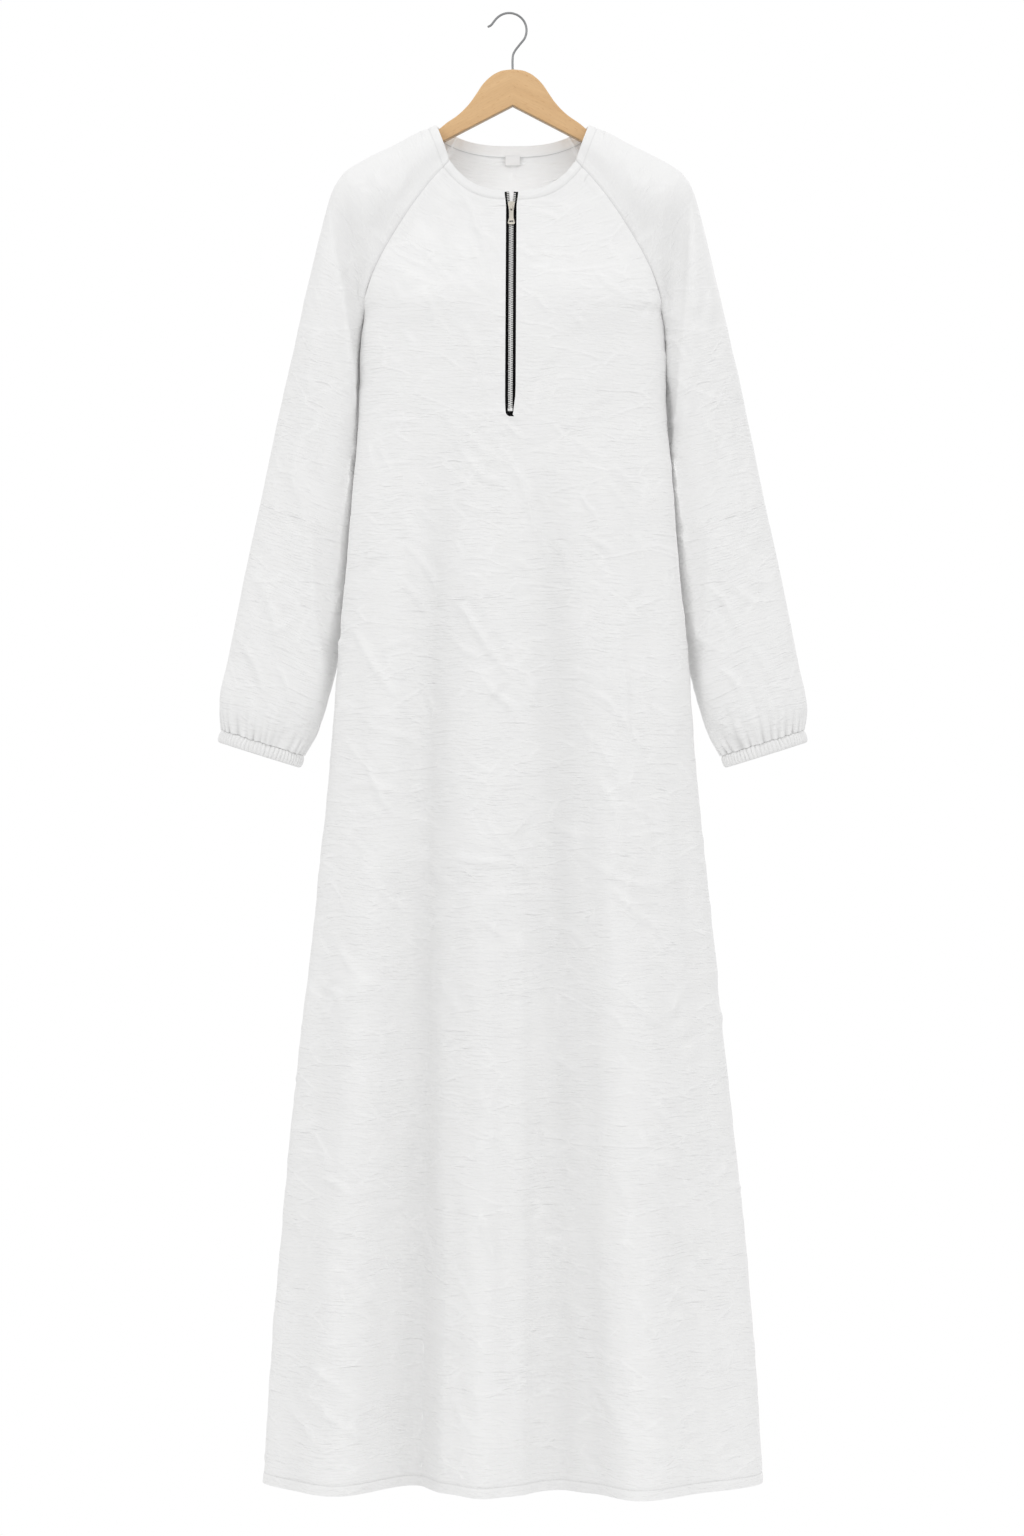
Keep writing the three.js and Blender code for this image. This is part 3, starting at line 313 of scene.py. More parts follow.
def fold_height(folds, x, drop):
    """How far a panel's folds push it out."""
    fall = fold_share(drop)
    height = np.zeros_like(x)
    for (chest, hem, high), (next_chest, next_hem, next_high) in zip(folds, folds[1:]):
        start, end = mix(chest, hem, fall), mix(next_chest, next_hem, fall)
        here = mix(high, next_high, smooth((x - start) / (end - start)))
        height = np.where((x >= start) & (x < end), here, height)
    return height * BODY.folds(drop)


def panel_points(panel, v, r, side):
    """A panel's points at level v (0 neck, 1 armpit, 2 hem) and share r of the way out to its seam."""
    upper = v <= 1
    t = clamp(v)
    level = mix(ARMPIT_DROP, HEM_DROP, clamp(v - 1))
    end_drop = np.where(upper, panel.seam.drop(t), level)
    centre_drop = np.where(upper, mix(panel.neck_drop, ARMPIT_DROP, t), level)
    drop = mix(end_drop, centre_drop, 1 - r ** mix(2.9, 2.2, t))
    end_depth = np.where(upper, panel.seam.depth(t), 0)
    centre_depth = np.where(upper, panel.seam.centre(t), panel.depth(drop))
    roundness = np.where(upper, panel.seam.round(t), 0.25)
    depth = mix(end_depth, centre_depth, (1 - r * r) ** roundness)
    turn = np.where(upper, 0, BODY.turn_in(drop))
    seam_x = np.where(upper, panel.seam.x(t), BODY.half(drop) - turn * turned_in(0))
    x = (seam_x + turn * turned_in(panel.facing * end_depth)) * r * side
    depth = depth + np.where(upper, 0, fold_height(panel.folds, x, drop) * (1 - r**6))
    y = panel.facing * depth
    return np.stack([x - side * turn * turned_in(y) * r**4, y, -drop], axis=-1)


def half_panel(panel, v, inner_r, side, columns):
    """Rows from an inner edge out to the seam, with their points evenly spaced along the cloth."""
    samples = 900
    angle = mix(np.arcsin(inner_r)[:, None], math.pi / 2, np.linspace(0, 1, samples)[None, :])
    r = np.minimum(np.sin(angle), 1)
    run = lengths(panel_points(panel, v[:, None] + 0 * r, r, side), 1)
    shares = np.linspace(0, 1, columns + 1)
    even_r = np.array([np.interp(shares * row[-1], row, rs) for row, rs in zip(run, r)])
    return panel_points(panel, v[:, None] + 0 * even_r, even_r, side)


def zip_x(drop):
    return mix(-1.4, -2.6, clamp((drop - NECK_FRONT_DROP) / 238))


def zip_half_gap(drop):
    """Half the opening beside the zip; below its foot, half the plain strip that carries on down."""
    opening = mix(7.2, 5.5, smooth((drop - NECK_FRONT_DROP) / 18))
    return opening + 9 * smooth((drop - ZIP_FOOT_DROP - 30) / 900)


def slit_edge(drop, side):
    """An edge of the zip's opening, which leans in towards its round foot, more on the right."""
    start, lean = (402, 2.6) if side == RIGHT else (415, 0.9)
    width = zip_half_gap(drop) - lean * smooth((drop - start) / (ZIP_FOOT_DROP - start))
    closing = clamp((drop - ZIP_FOOT_DROP + FOOT_ROUND) / FOOT_ROUND)
    width = np.maximum(width * np.sqrt(1 - closing**2), FOOT_HALF)
    below = clamp(drop - ZIP_FOOT_DROP)
    strip = mix(FOOT_HALF, zip_half_gap(drop), smooth((drop - ZIP_FOOT_DROP) / STRIP_OPENS))
    return zip_x(drop) + side * mix(width, strip, below)


def face_depth(drop):
    """Depth of the front's face on its centre line."""
    centre = clamp((drop - NECK_FRONT_DROP) / (ARMPIT_DROP - NECK_FRONT_DROP))
    below = BODY.front(drop) + fold_height(FRONT_FOLDS, np.asarray(drop, float) * 0 - 2, drop)
    return np.where(drop <= ARMPIT_DROP, FRONT_SEAM.centre(centre), below)


def section_depth(b, seam_depth, face, turn, turn_power, ridge_from, sharp):
    """Half a sleeve's section, from its seam or inner edge (b = 0) to its outer ridge (b = 1)."""
    rise = np.where(b < turn, (1 - (1 - clamp(b / turn)) ** 2) ** turn_power, 1)
    past = clamp((b - ridge_from) / (1 - ridge_from))
    ridge = np.where(b > ridge_from, (1 - past**2) ** sharp, 1)
    line = seam_depth * (1 - b)
    return line + (face - line) * rise * ridge


def section_shares(columns):
    even = np.linspace(0, 1, columns + 1)
    return mix(even, (1 - np.cos(math.pi * even)) / 2, 0.75)


def whole_section(front, back):
    return np.concatenate([front, back[:, ::-1][:, 1:]], axis=1)


def raglan_rows(t, columns):
    """Sleeve rows above the armpit, from the front seam over the shoulder to the back seam."""
    t = t[:, None]
    b = section_shares(columns)[None, :]
    halves = []
    for panel, face in ((FRONT, SHOULDER.front), (BACK, SHOULDER.back)):
        seam = panel.seam
        x = mix(seam.x(t), SHOULDER.x(t), b)
        drop = mix(seam.drop(t), SHOULDER.drop(t), b)
        late = smooth((t - 0.85) / 0.15)
        power = mix(1, 0.8, late) if panel is FRONT else mix(1, 0.5, late)
        turn = mix(0.5, 0.3, smooth((t - 0.6) / 0.4))
        sharp = SHOULDER.sharp(t)
        depth = section_depth(b, seam.depth(t), face(t), turn, power, mix(0.35, 0.5, t), sharp)
        away = (x - DROP_FOLD.x(drop)) / DROP_FOLD.width(drop)
        depth = depth - DROP_FOLD.depth(drop) * np.exp(-away * away) * smooth(b * 6)
        halves.append(np.stack([x, panel.facing * depth, -drop], axis=-1))
    return whole_section(*halves)


def tube_rows(s, columns):
    """Closed sleeve rows below the armpit, starting and ending on the inner edge."""
    s = s[:, None]
    b = section_shares(columns)[None, :]
    halves = []
    for facing, face in ((-1, SLEEVE.front), (1, SLEEVE.back)):
        x = mix(SLEEVE.near_x(s), SLEEVE.far_x(s), b)
        drop = mix(SLEEVE.near(s), SLEEVE.far(s), b)
        power = mix(0.5, 0.8, smooth((0.95 - s) / 0.25)) if facing < 0 else 0.5
        depth = section_depth(b, facing * SLEEVE.near_y(s), face(s), SLEEVE.turn(s), power, 0.5, 0.5)
        halves.append(np.stack([x, facing * depth, -drop], axis=-1))
    return whole_section(*halves)


# ---- creases ----
# Each crease: its half width, its height, then x and drop at each point of its path.
FRONT_CREASES = (
    (4, 0.9, -55.6, 197, -42, 212, -35.5, 235),
    (3.5, 0.8, -45, 228, -29, 238, -16.6, 247),
    (6, 0.9, -80, 205, -68, 235, -60, 274),
    (6, 0.8, -95, 225, -88, 255, -84, 292),
    (3.5, 0.8, 24, 199, 38, 203, 52, 204),
    (3.5, 0.9, 17, 212, 36, 216, 46, 219),
    (6, 0.7, 66, 212, 60, 240, 64, 268),
    # below the zip's foot and across the chest
    (3.2, 1.6, -9, 434, -3, 441, 3, 447, 9, 453),
    (2.6, -1.2, -15, 447, -11, 449, -7, 450),
    (2.6, 0.8, 6, 452, 16, 453, 26, 451),
    (2.6, 0.7, 3, 459, 14, 461, 24, 458),
    (4.5, 2.0, -17, 458, 2, 484, 13, 509, 21, 537, 33, 574),
    (4.0, 1.5, -59, 456, -41, 481, -29, 493, -8, 499),
    (4.0, 0.8, -62, 510, -44, 524, -22, 530),
    (4.5, 1.5, -117, 559, -89, 587, -80, 610),
    (4.5, 1.8, -119, 599, -104, 613, -87, 638),
    (3.5, 0.9, -112, 508, -97, 507, -78, 510),
    (4.0, 0.7, -134, 436, -112, 432, -90, 438),
    (4.0, 1.2, 102, 479, 118, 494, 134, 511),
    (4.0, 1.2, 94, 494, 110, 512, 124, 532),
    (4.5, 0.9, 62, 452, 84, 468, 98, 474),
    (4.5, 0.9, 34, 548, 52, 572, 60, 600),
    (4.5, 0.8, 122, 548, 134, 566, 139, 592),
    # waist and hips
    (4.5, 2.2, -64, 620, -50, 632, -24, 673, 1, 702),
    (4.5, 2.0, -41, 690, -20, 716, -2, 734, 3, 760),
    (4.0, 1.3, -66, 655, -52, 671, -30, 682),
    (4.5, 1.0, -16, 628, -9, 660, 10, 700, 24, 716),
    (5.0, 1.8, -165, 652, -142, 692, -119, 726),
    (3.5, 0.9, -94, 582, -88, 592, -82, 604),
    (3.5, 1.2, -136, 672, -120, 664, -108, 663, -93, 675),
    (5.0, 1.6, 107, 650, 116, 700, 119, 756),
    (4.5, 1.8, 77, 715, 100, 728, 119, 753),
    (4.0, 0.9, 60, 690, 80, 700, 96, 703),
    (5.5, 2.0, 89, 805, 107, 843, 114, 893),
    (5.0, 1.7, 119, 805, 137, 856, 146, 884),
    (5.0, 1.2, 84, 762, 98, 784, 108, 812),
    (5.0, 1.6, -154, 780, -137, 825, -124, 846),
    (4.5, 1.4, -172, 815, -148, 812, -117, 823),
    (5.0, 2.0, -29, 843, -14, 869, 6, 892, 13, 906),
    (4.5, 1.5, -60, 886, -26, 892, 14, 894),
    (4.5, 1.0, 36, 846, 58, 862, 92, 868),
    (4.5, 1.3, 60, 878, 96, 902, 132, 916, 160, 918),
    # skirt
    (5.0, 1.8, 102, 918, 126, 943, 151, 964),
    (4.5, 1.3, -32, 953, -20, 960, -9, 974),
    (4.5, 1.0, 30, 952, 62, 966, 84, 986),
    (5.0, 1.2, -150, 905, -128, 930, -112, 942),
    (5.0, 1.2, -186, 968, -168, 1000, -152, 1016),
    (5.5, 1.0, -76, 1012, -60, 1040, -54, 1072),
    (5.0, 1.2, 112, 1020, 140, 1052, 158, 1062),
    (5.0, 1.0, 24, 1060, 44, 1092, 70, 1112),
    (5.5, 1.2, -40, 1122, -24, 1150, -20, 1182),
    (5.5, 1.5, 128, 1128, 160, 1160, 178, 1196),
    (4.5, 1.4, -196, 1220, -180, 1226, -168, 1236),
    (5.5, 1.1, -150, 1150, -134, 1176, -128, 1208),
    (6.0, 2.0, 142, 1211, 168, 1262, 194, 1305),
    (6.0, 1.2, 96, 1196, 118, 1240, 126, 1290),
    (6.5, 2.2, -34, 1249, -22, 1292, -7, 1347),
    (5.5, 1.9, -188, 1307, -149, 1341, -134, 1366),
    (5.0, 1.6, -208, 1412, -188, 1424, -172, 1441),
    (5.0, 1.8, -211, 1441, -188, 1462, -155, 1487),
    (6.5, 2.0, 121, 1336, 150, 1384, 183, 1450),
    (6.0, 1.4, 168, 1336, 196, 1372, 214, 1420),
    (6.0, 1.0, 36, 1230, 56, 1262, 62, 1310),
    (6.0, 1.3, 70, 1420, 98, 1446, 122, 1490),
    (5.0, 1.2, -62, 1430, -52, 1462, -28, 1486),
    (5.5, 1.1, -6, 1402, 18, 1430, 34, 1466),
    (5.0, 1.4, -238, 1452, -212, 1478, -196, 1496),
)
# Long soft folds down the front: narrower breaks on the sides of its three lobes.
FRONT_LONG_FOLDS = (
    (13, 1.6, -77, 640, -76, 900, -74, 1150, -72, 1330),
    (6.5, 2.2, -68, 1240, -66, 1330, -69, 1420, -74, 1545),
    (13, 1.6, 100, 760, 98, 1000, 96, 1240, 102, 1440, 108, 1540),
    (16, 1.6, -150, 880, -168, 1120, -190, 1340, -206, 1540),
    (16, 1.8, 150, 720, 166, 960, 184, 1220, 206, 1500),
    (16, 1.4, -118, 560, -122, 760, -132, 960),
    (5.5, 1.5, -58, 178, -46, 205, -33, 240, -24, 275, -20, 310),
    (5, 1.0, -50, 236, -38, 262, -29, 294),
    (6, 1.2, -58, 330, -42, 352, -30, 392, -24, 430),
    (9, 0.9, 44, 240, 50, 300, 47, 370, 52, 440),
)
BACK_CREASES = (
    (5.0, 1.4, -96, 252, -70, 268, -48, 292),
    (5.0, 1.3, 88, 246, 66, 270, 52, 300),
    (5.5, 1.1, -34, 212, -20, 240, -16, 270),
    (5.0, 1.3, 20, 330, 44, 352, 76, 360),
    (5.0, 1.5, -110, 352, -84, 380, -70, 412),
    (5.0, 1.5, 104, 380, 84, 414, 72, 452),
    (5.0, 1.5, -26, 420, -8, 452, 16, 470),
    (5.0, 1.6, -128, 470, -100, 490, -84, 520),
    (5.5, 1.7, 46, 498, 30, 532, 26, 570),
    (5.0, 1.4, 122, 520, 100, 556, 92, 590),
    (5.0, 1.8, -70, 566, -46, 590, -20, 600),
    (5.5, 1.6, -150, 610, -124, 640, -108, 676),
    (5.0, 1.5, 76, 640, 52, 668, 20, 676),
    (5.5, 1.7, 148, 690, 126, 730, 118, 770),
    (5.5, 1.9, -40, 700, -30, 742, -8, 772),
    (5.5, 1.4, -120, 752, -92, 776, -76, 808),
    (5.0, 1.6, 60, 800, 84, 826, 116, 836),
    (5.5, 1.7, -10, 850, 14, 884, 22, 920),
    (5.5, 1.6, -168, 870, -140, 900, -122, 934),
    (5.5, 1.6, 140, 920, 116, 960, 104, 1000),
    (5.5, 1.5, -60, 980, -44, 1016, -18, 1040),
    (5.5, 1.5, 30, 1060, 58, 1088, 96, 1100),
    (6.0, 1.7, -190, 1090, -160, 1124, -146, 1160),
    (6.0, 1.6, 172, 1130, 150, 1176, 142, 1220),
    (6.0, 1.6, -90, 1196, -66, 1230, -60, 1270),
    (6.0, 1.5, 20, 1226, 40, 1270, 44, 1312),
    (5.5, 1.6, 110, 1300, 136, 1336, 160, 1350),
    (5.5, 1.7, -204, 1330, -176, 1366, -150, 1380),
    (6.0, 1.5, -30, 1380, -8, 1420, -4, 1456),
    (5.5, 1.5, 196, 1410, 170, 1446, 160, 1486),
    (5.5, 1.4, -128, 1430, -104, 1456, -70, 1470),
    (5.5, 1.3, 60, 1420, 80, 1450, 84, 1490),
)
BACK_LONG_FOLDS = (
    (12, 2.6, -92, 640, -94, 900, -96, 1200, -100, 1540),
    (12, 2.8, 78, 700, 80, 960, 84, 1250, 88, 1540),
    (17, 2.0, -20, 520, -16, 760, -8, 1010, -4, 1300),
    (15, 2.4, 150, 620, 162, 900, 182, 1200, 206, 1500),
    (15, 2.4, -150, 700, -168, 980, -192, 1280, -212, 1520),
    (17, -1.8, 34, 380, 40, 560, 46, 760),
    (20, -1.6, 0, 170, 2, 300, -6, 420),
)
RIGHT_SLEEVE_FRONT = (
    (9, 2.2, 184, 214, 190, 300, 184, 400, 178, 470),
    (9, 1.6, 200, 330, 208, 420, 214, 500),
    (9, 2.4, 206, 540, 208, 610, 204, 680, 206, 730),
    (6, 1.5, 222, 460, 236, 500, 240, 548),
    (6, 1.6, 238, 560, 254, 596, 258, 640),
    (5, 1.7, 200, 600, 222, 622, 236, 652),
    (5, 1.6, 246, 664, 262, 684, 270, 712),
    (4.5, 1.6, 216, 690, 232, 704, 240, 726),
    (7, 1.2, 196, 250, 206, 290, 206, 330),
    (6, 1.1, 110, 150, 124, 176, 128, 206),
    (6, 1.0, 150, 174, 158, 200, 156, 232),
    (4.5, 1.2, 230, 600, 246, 618, 266, 622),
    (4.5, 1.3, 188, 640, 200, 662, 216, 670),
    (5.5, 1.2, 214, 400, 226, 424, 230, 452),
)
LEFT_SLEEVE_FRONT = (
    (9, 2.2, 180, 220, 176, 300, 170, 380, 168, 470),
    (10, 1.8, 204, 300, 214, 400, 226, 480, 232, 560),
    (9, 2.4, 212, 560, 208, 630, 202, 690, 204, 740),
    (6, 1.5, 236, 480, 222, 512, 216, 548),
    (6, 1.6, 262, 600, 250, 640, 246, 676),
    (5, 1.4, 236, 590, 252, 610, 262, 640),
    (5, 1.6, 282, 668, 268, 690, 262, 716),
    (4.5, 1.5, 246, 690, 236, 708, 234, 728),
    (7, 1.2, 192, 240, 200, 280, 198, 322),
    (6, 1.0, 104, 150, 112, 178, 126, 200),
    (6, 1.0, 146, 172, 142, 200, 150, 228),
    (4.5, 1.2, 222, 632, 240, 648, 252, 652),
    (6, 1.2, 196, 420, 204, 452, 204, 486),
)
SLEEVE_BACK = (
    (10, 2.0, 186, 230, 196, 320, 204, 410, 212, 490),
    (10, 2.2, 226, 520, 236, 580, 244, 650, 252, 710),
    (6, 1.6, 176, 520, 190, 560, 196, 610),
    (6, 1.5, 206, 420, 226, 450, 236, 490),
    (6, 1.6, 214, 600, 226, 640, 224, 690),
    (6, 1.5, 254, 590, 266, 630, 270, 670),
    (6, 1.1, 120, 160, 134, 190, 136, 230),
    (6, 1.4, 166, 300, 184, 330, 190, 370),
    (5, 1.6, 236, 680, 248, 704, 250, 730),
)


# Where the sleeves' faces break towards their inner sides: path as (x out, drop), reach, height, and the
# shade painted inside the break.
RIGHT_BREAKS = (
    (((190, 180), (188, 230), (178, 345), (166, 480)), 14, 2.4, 0.35),
    (((204, 545), (203.8, 575), (201, 650), (200, 700), (206, 745)), 22, 1.8, 0.1),
)
LEFT_BREAKS = (
    (((194, 185), (190, 230), (171, 354), (163, 480)), 14, 2.4, 0.35),
    (((213, 530), (211, 573), (205, 640), (202, 700), (208, 750)), 24, 1.8, 0.1),
)


def fine_path(path):
    """A crease's path as a smooth line of short straight steps."""
    parts = 7
    points = np.array(path, float)
    runs = np.arange(len(points))
    wanted = np.linspace(0, len(points) - 1, (len(points) - 1) * parts + 1)
    return np.stack([smooth_spline(runs, points[:, k], wanted) for k in range(2)], axis=1)


def smooth_spline(keys, values, wanted):
    """Catmull-Rom through values at whole-number keys."""
    i = np.clip(wanted.astype(int), 0, len(keys) - 2)
    u = wanted - i
    before, after = values[np.maximum(i - 1, 0)], values[np.minimum(i + 2, len(keys) - 1)]
    a, b = values[i], values[i + 1]
    return (
        a
        + 0.5 * u * (b - before)
        + u * u * (before - 2.5 * a + 2 * b - 0.5 * after)
        + 0.5 * u**3 * (3 * a - before - 3 * b + after)
    )


def crease_relief(x, drop, creases):
    """Height of creases over a cloth: each is a soft ridge, with a shallower trough on its lower side."""
    relief = np.zeros_like(x)
    for width, height, *path in creases:
        line = fine_path(np.reshape(path, (-1, 2)))
        low, high = line.min(0) - 5 * width, line.max(0) + 5 * width
        near = (x > low[0]) & (x < high[0]) & (drop > low[1]) & (drop < high[1])
        if not near.any():
            continue
        place = np.stack([x[near], drop[near]], axis=1)
        best = np.full(len(place), 1e9)
        offset, along = np.zeros(len(place)), np.zeros(len(place))
        for k, (start, end) in enumerate(zip(line, line[1:])):
            step = end - start
            share = clamp(((place - start) @ step) / (step @ step))
            away = place - start - share[:, None] * step
            distance = np.hypot(*away.T)
            closer = distance < best
            side = np.sign(step[0] * away[:, 1] - step[1] * away[:, 0])
            best = np.where(closer, distance, best)
            offset = np.where(closer, side * distance, offset)
            along = np.where(closer, (k + share) / (len(line) - 1), along)
        taper = np.sin(math.pi * clamp(along)) ** 0.7
        wander = 1 + 0.35 * uneven(place[:, 0], place[:, 1], 14, 14, int(abs(path[0])) + 3)
        ridge = np.exp(-((1.4 * offset / width) ** 2))
        trough = 0.45 * np.exp(-(((offset + 1.9 * width) / (1.4 * width)) ** 2))
        relief[near] += 1.25 * height * taper * wander * (ridge - trough)
    return relief


def crumple(x, drop, seed):
    """The cloth's own unevenness: broad soft swells, and flatter crimps that lie across it."""
    swells = 0.8 * uneven(x + 0.4 * drop, drop, 70, 95, seed)
    dents = 0.55 * uneven(x + 0.5 * drop, drop - 0.3 * x, 24, 30, seed + 1)
    crimps = 0.3 * uneven(x, drop + 0.25 * x, 24, 8, seed + 2)
    return swells + dents + crimps


def beside_seam(distance, along, seed):
    """Cloth rises from a seam, and puckers for a few millimetres beside it."""
    rise = SEAM_LIFT * (1 - np.exp(-((distance / 1.5) ** 2)))
    allowance = 0.35 * (1 - smooth((distance - 7) / 4)) * smooth(distance / 3)
    pucker = uneven(along * 0, along, 1, 7.5, seed) * np.exp(-distance / 10) * smooth(distance / 4)
    return rise + allowance + 0.55 * pucker


def stitched_edge(distance, along, band_width, seed):
    """A turned edge, a little thicker down to its stitches, drawn in along them, and puckered."""
    band = 0.5 * (1 - smooth((distance - band_width + 0.8) / 1.2))
    drawn = -0.8 * np.exp(-(((distance - band_width) / 1.2) ** 2))
    pucker = 0.35 * uneven(along - 0.5 * distance, along * 0, 5.5, 1, seed)
    return band + drawn + pucker * np.exp(-(((distance - band_width + 2) / 6) ** 2))


def bust(x, drop):
    """Two soft swells of the chest, which end in a quicker fall below."""
    swell = smooth((drop - 225) / 80) * (1 - smooth((drop - 304) / 46))
    return 5.5 * swell * (np.exp(-(((x + 92) / 46) ** 2)) + np.exp(-(((x - 96) / 50) ** 2)))


def painted_hollow_shade(x, drop, bands):
    """How much shade is painted in each trough between a panel's folds, with faint streaks."""
    fall = fold_share(drop)
    depth = np.zeros_like(x)
    for chest, hem, half_width, start, strength in bands:
        wander = 3 * uneven(x * 0, drop, 1, 120, 71)
        away = (x + wander - mix(chest, hem, fall)) / (half_width * mix(0.7, 1, fall))
        depth += strength * np.exp(-1.1 * away**2) * smooth((drop - start) / 260)
    streaks = uneven(x - 0.12 * (drop - 900), drop, 13, 230, 72)
    return clamp(depth + 0.07 * streaks * smooth((drop - 300) / 200))


def ease_bends(points):
    """Rounds the feet and crests of the folds, below the zip."""
    share = smooth((-points[:, 1:-1, 2] - 560) / 300)
    for _ in range(14):
        y = points[..., 1]
        eased = (y[:, :-2] + 2 * y[:, 1:-1] + y[:, 2:]) / 4
        points[:, 1:-1, 1] = mix(y[:, 1:-1], eased, share)


def painted_fold_shade(cloth, bands):
    """Painted shade for a panel: in its bands, and where it bends inward at the feet of its folds."""
    x, drop = cloth.points[..., 0], -cloth.points[..., 2]
    return painted_hollow_shade(x, drop, bands) + 0.7 * folded_in(cloth) * smooth((drop - 600) / 300)


def folded_in(cloth):
    """How sharply the cloth bends inward across itself: 1 at the foot of its tightest folds."""
    out = np.abs(cloth.points[..., 1])
    bend = np.gradient(np.gradient(out, axis=1), axis=1) / np.gradient(cloth.across, axis=1) ** 2
    return clamp(bend / 0.16)


def minor_creases(seed, count, low, high, lean=0.75):
    """Many small creases, most of them falling to the viewer's right."""
    dice = np.random.RandomState(seed)
    creases = []
    for _ in range(count):
        x, drop = dice.uniform(low[0], high[0]), dice.uniform(low[1], high[1])
        length = dice.uniform(16, 52)
        angle = math.radians(dice.uniform(18, 68))
        across = math.cos(angle) * (1 if dice.uniform() < lean else -1)
        down = math.sin(angle)
        bow = dice.uniform(-0.18, 0.18) * length
        middle = (x + across * length / 2 - down * bow, drop + down * length / 2 + across * bow)
        end = (x + across * length, drop + down * length)
        width, height = dice.uniform(2.6, 4.6), dice.uniform(0.4, 1.15)
        creases.append((width, height, x, drop, *middle, *end))
    return creases


# ---- cloth pieces as grids ----
class Cloth:
    """A grid of points on a form, with the directions out of it, its relief, and its layers."""

    def __init__(self, points, facing_sign, closed_from=None):
        self.points = points
        self.flip = facing_sign < 0
        self.closed_from = closed_from
        across = np.gradient(points, axis=1)
        if closed_from is not None:
            around = (points[closed_from:, 1] - points[closed_from:, -2]) / 2
            across[closed_from:, 0] = around
            across[closed_from:, -1] = around
        down = np.gradient(points, axis=0)
        normals = np.cross(down, across) * facing_sign
        self.normals = normals / np.linalg.norm(normals, axis=2, keepdims=True)
        self.across = lengths(points, 1)
        self.down = lengths(points, 0)

    def set_relief(self, relief, step):
        """Moves the face out by the relief; the inside follows its lowest places near by."""
        self.relief = relief
        self.step = step
        self.outer = self.points + self.normals * relief[..., None]
        low = relief
        for _ in range(step):
            padded = np.pad(low, 1, mode="edge")
            rows, columns = low.shape
            moved = [padded[a : a + rows, b : b + columns] for a in range(3) for b in range(3)]
            low = np.min(moved, axis=0)
        self.inner = self.points + self.normals * (low - WALL)[..., None]
        self.painted_shade = np.zeros_like(relief)
        to_side = np.minimum(self.across, self.across[:, -1:] - self.across)
        self.edges = np.stack([self.down, to_side, self.down[-1:] - self.down], axis=-1)


def cloth_mesh(name, cloth, keep=None):
    """A closed wall: fine cells outside, coarser ones inside, and a rim along each open edge."""
    rows, columns = cloth.points.shape[:2]
    step, closed_from = cloth.step, cloth.closed_from
    coarse_rows, coarse_columns = (rows - 1) // step, (columns - 1) // step
    kept = np.ones((coarse_rows, coarse_columns), bool) if keep is None else keep
    fine_kept = np.repeat(np.repeat(kept, step, 0), step, 1)

    outer_key = np.arange(rows * columns).reshape(rows, columns)
    inner_key = outer_key + rows * columns

    def quads(key, i, j, size):
        return np.stack([key[i, j], key[i + size, j], key[i + size, j + size], key[i, j + size]], 1)

    faces = quads(outer_key, *np.nonzero(fine_kept), 1)
    i, j = np.nonzero(kept)
    inside = quads(inner_key, i * step, j * step, step)[:, [0, 3, 2, 1]]

    def has(ci, cj):
        wraps = closed_from is not None and ci * step >= closed_from
        cj = cj % coarse_columns if wraps else cj
        return 0 <= ci < coarse_rows and 0 <= cj < coarse_columns and kept[ci, cj]

    rims = []
    for ci, cj in zip(*np.nonzero(kept)):
        top, left = ci * step, cj * step
        span = np.arange(step + 1)
        edges = (
            ((ci, cj - 1), top + span, left + 0 * span),
            ((ci + 1, cj), top + step + 0 * span, left + span),
            ((ci, cj + 1), top + step - span, left + step + 0 * span),
            ((ci - 1, cj), top + 0 * span, left + step - span),
        )
        for neighbour, edge_i, edge_j in edges:
            if has(*neighbour):
                continue
            line = outer_key[edge_i, edge_j]
            start, end = inner_key[edge_i[0], edge_j[0]], inner_key[edge_i[-1], edge_j[-1]]
            half = step // 2
            rims += [(line[k + 1], line[k], start if k < half else end) for k in range(step)]
            rims.append((line[half], start, end))

    all_faces = faces.tolist() + inside.tolist() + [tuple(map(int, face)) for face in rims]
    if cloth.flip:
        all_faces = [face[::-1] for face in all_faces]

    vertex_of = np.arange(2 * rows * columns).reshape(2, rows, columns)
    if closed_from is not None:
        vertex_of[:, closed_from:, -1] = vertex_of[:, closed_from:, 0]
    vertex_of = vertex_of.ravel()
    loop_keys = np.fromiter((key for face in all_faces for key in face), int)
    used, compact = np.unique(vertex_of[loop_keys], return_inverse=True)
    positions = np.concatenate([cloth.outer.reshape(-1, 3), cloth.inner.reshape(-1, 3)])[used] * MM
    sizes = [len(face) for face in all_faces]
    starts = np.cumsum([0] + sizes)
    new_faces = [compact[a:b].tolist() for a, b in zip(starts, starts[1:])]

    middle = columns // 2
    width_from_middle = cloth.across - cloth.across[:, middle : middle + 1]
    fall = np.repeat(cloth.down.mean(axis=1)[:, None], columns, axis=1)
    uv = np.stack([width_from_middle, -fall], axis=-1).reshape(-1, 2) * MM
    uv = np.concatenate([uv, uv])[loop_keys]
    piece = mesh_object(name, positions.tolist(), new_faces, uv)
    # the painted shade, at the outer points only
    painted_shade = np.concatenate([cloth.painted_shade.ravel(), 0 * cloth.painted_shade.ravel()])
    point_values(piece, "painted_shade", "FLOAT", "value", painted_shade[used])
    edges = np.concatenate([cloth.edges.reshape(-1, 3)] * 2)
    point_values(piece, "edges", "FLOAT_VECTOR", "vector", edges[used])
    return piece


def placed(name, data):
    """A new object in the scene, at the origin."""
    thing = bpy.data.objects.new(name, data)
    bpy.context.scene.collection.objects.link(thing)
    return thing


def mesh_of(name, shape):
    mesh = bpy.data.meshes.new(name)
    shape.to_mesh(mesh)
    shape.free()
    return mesh


def point_values(piece, name, kind, key, values):
    """Stores values at a mesh's points, for its finish."""
    layer = piece.data.attributes.new(name, kind, "POINT").data
    layer.foreach_set(key, np.asarray(values, np.float32).ravel())


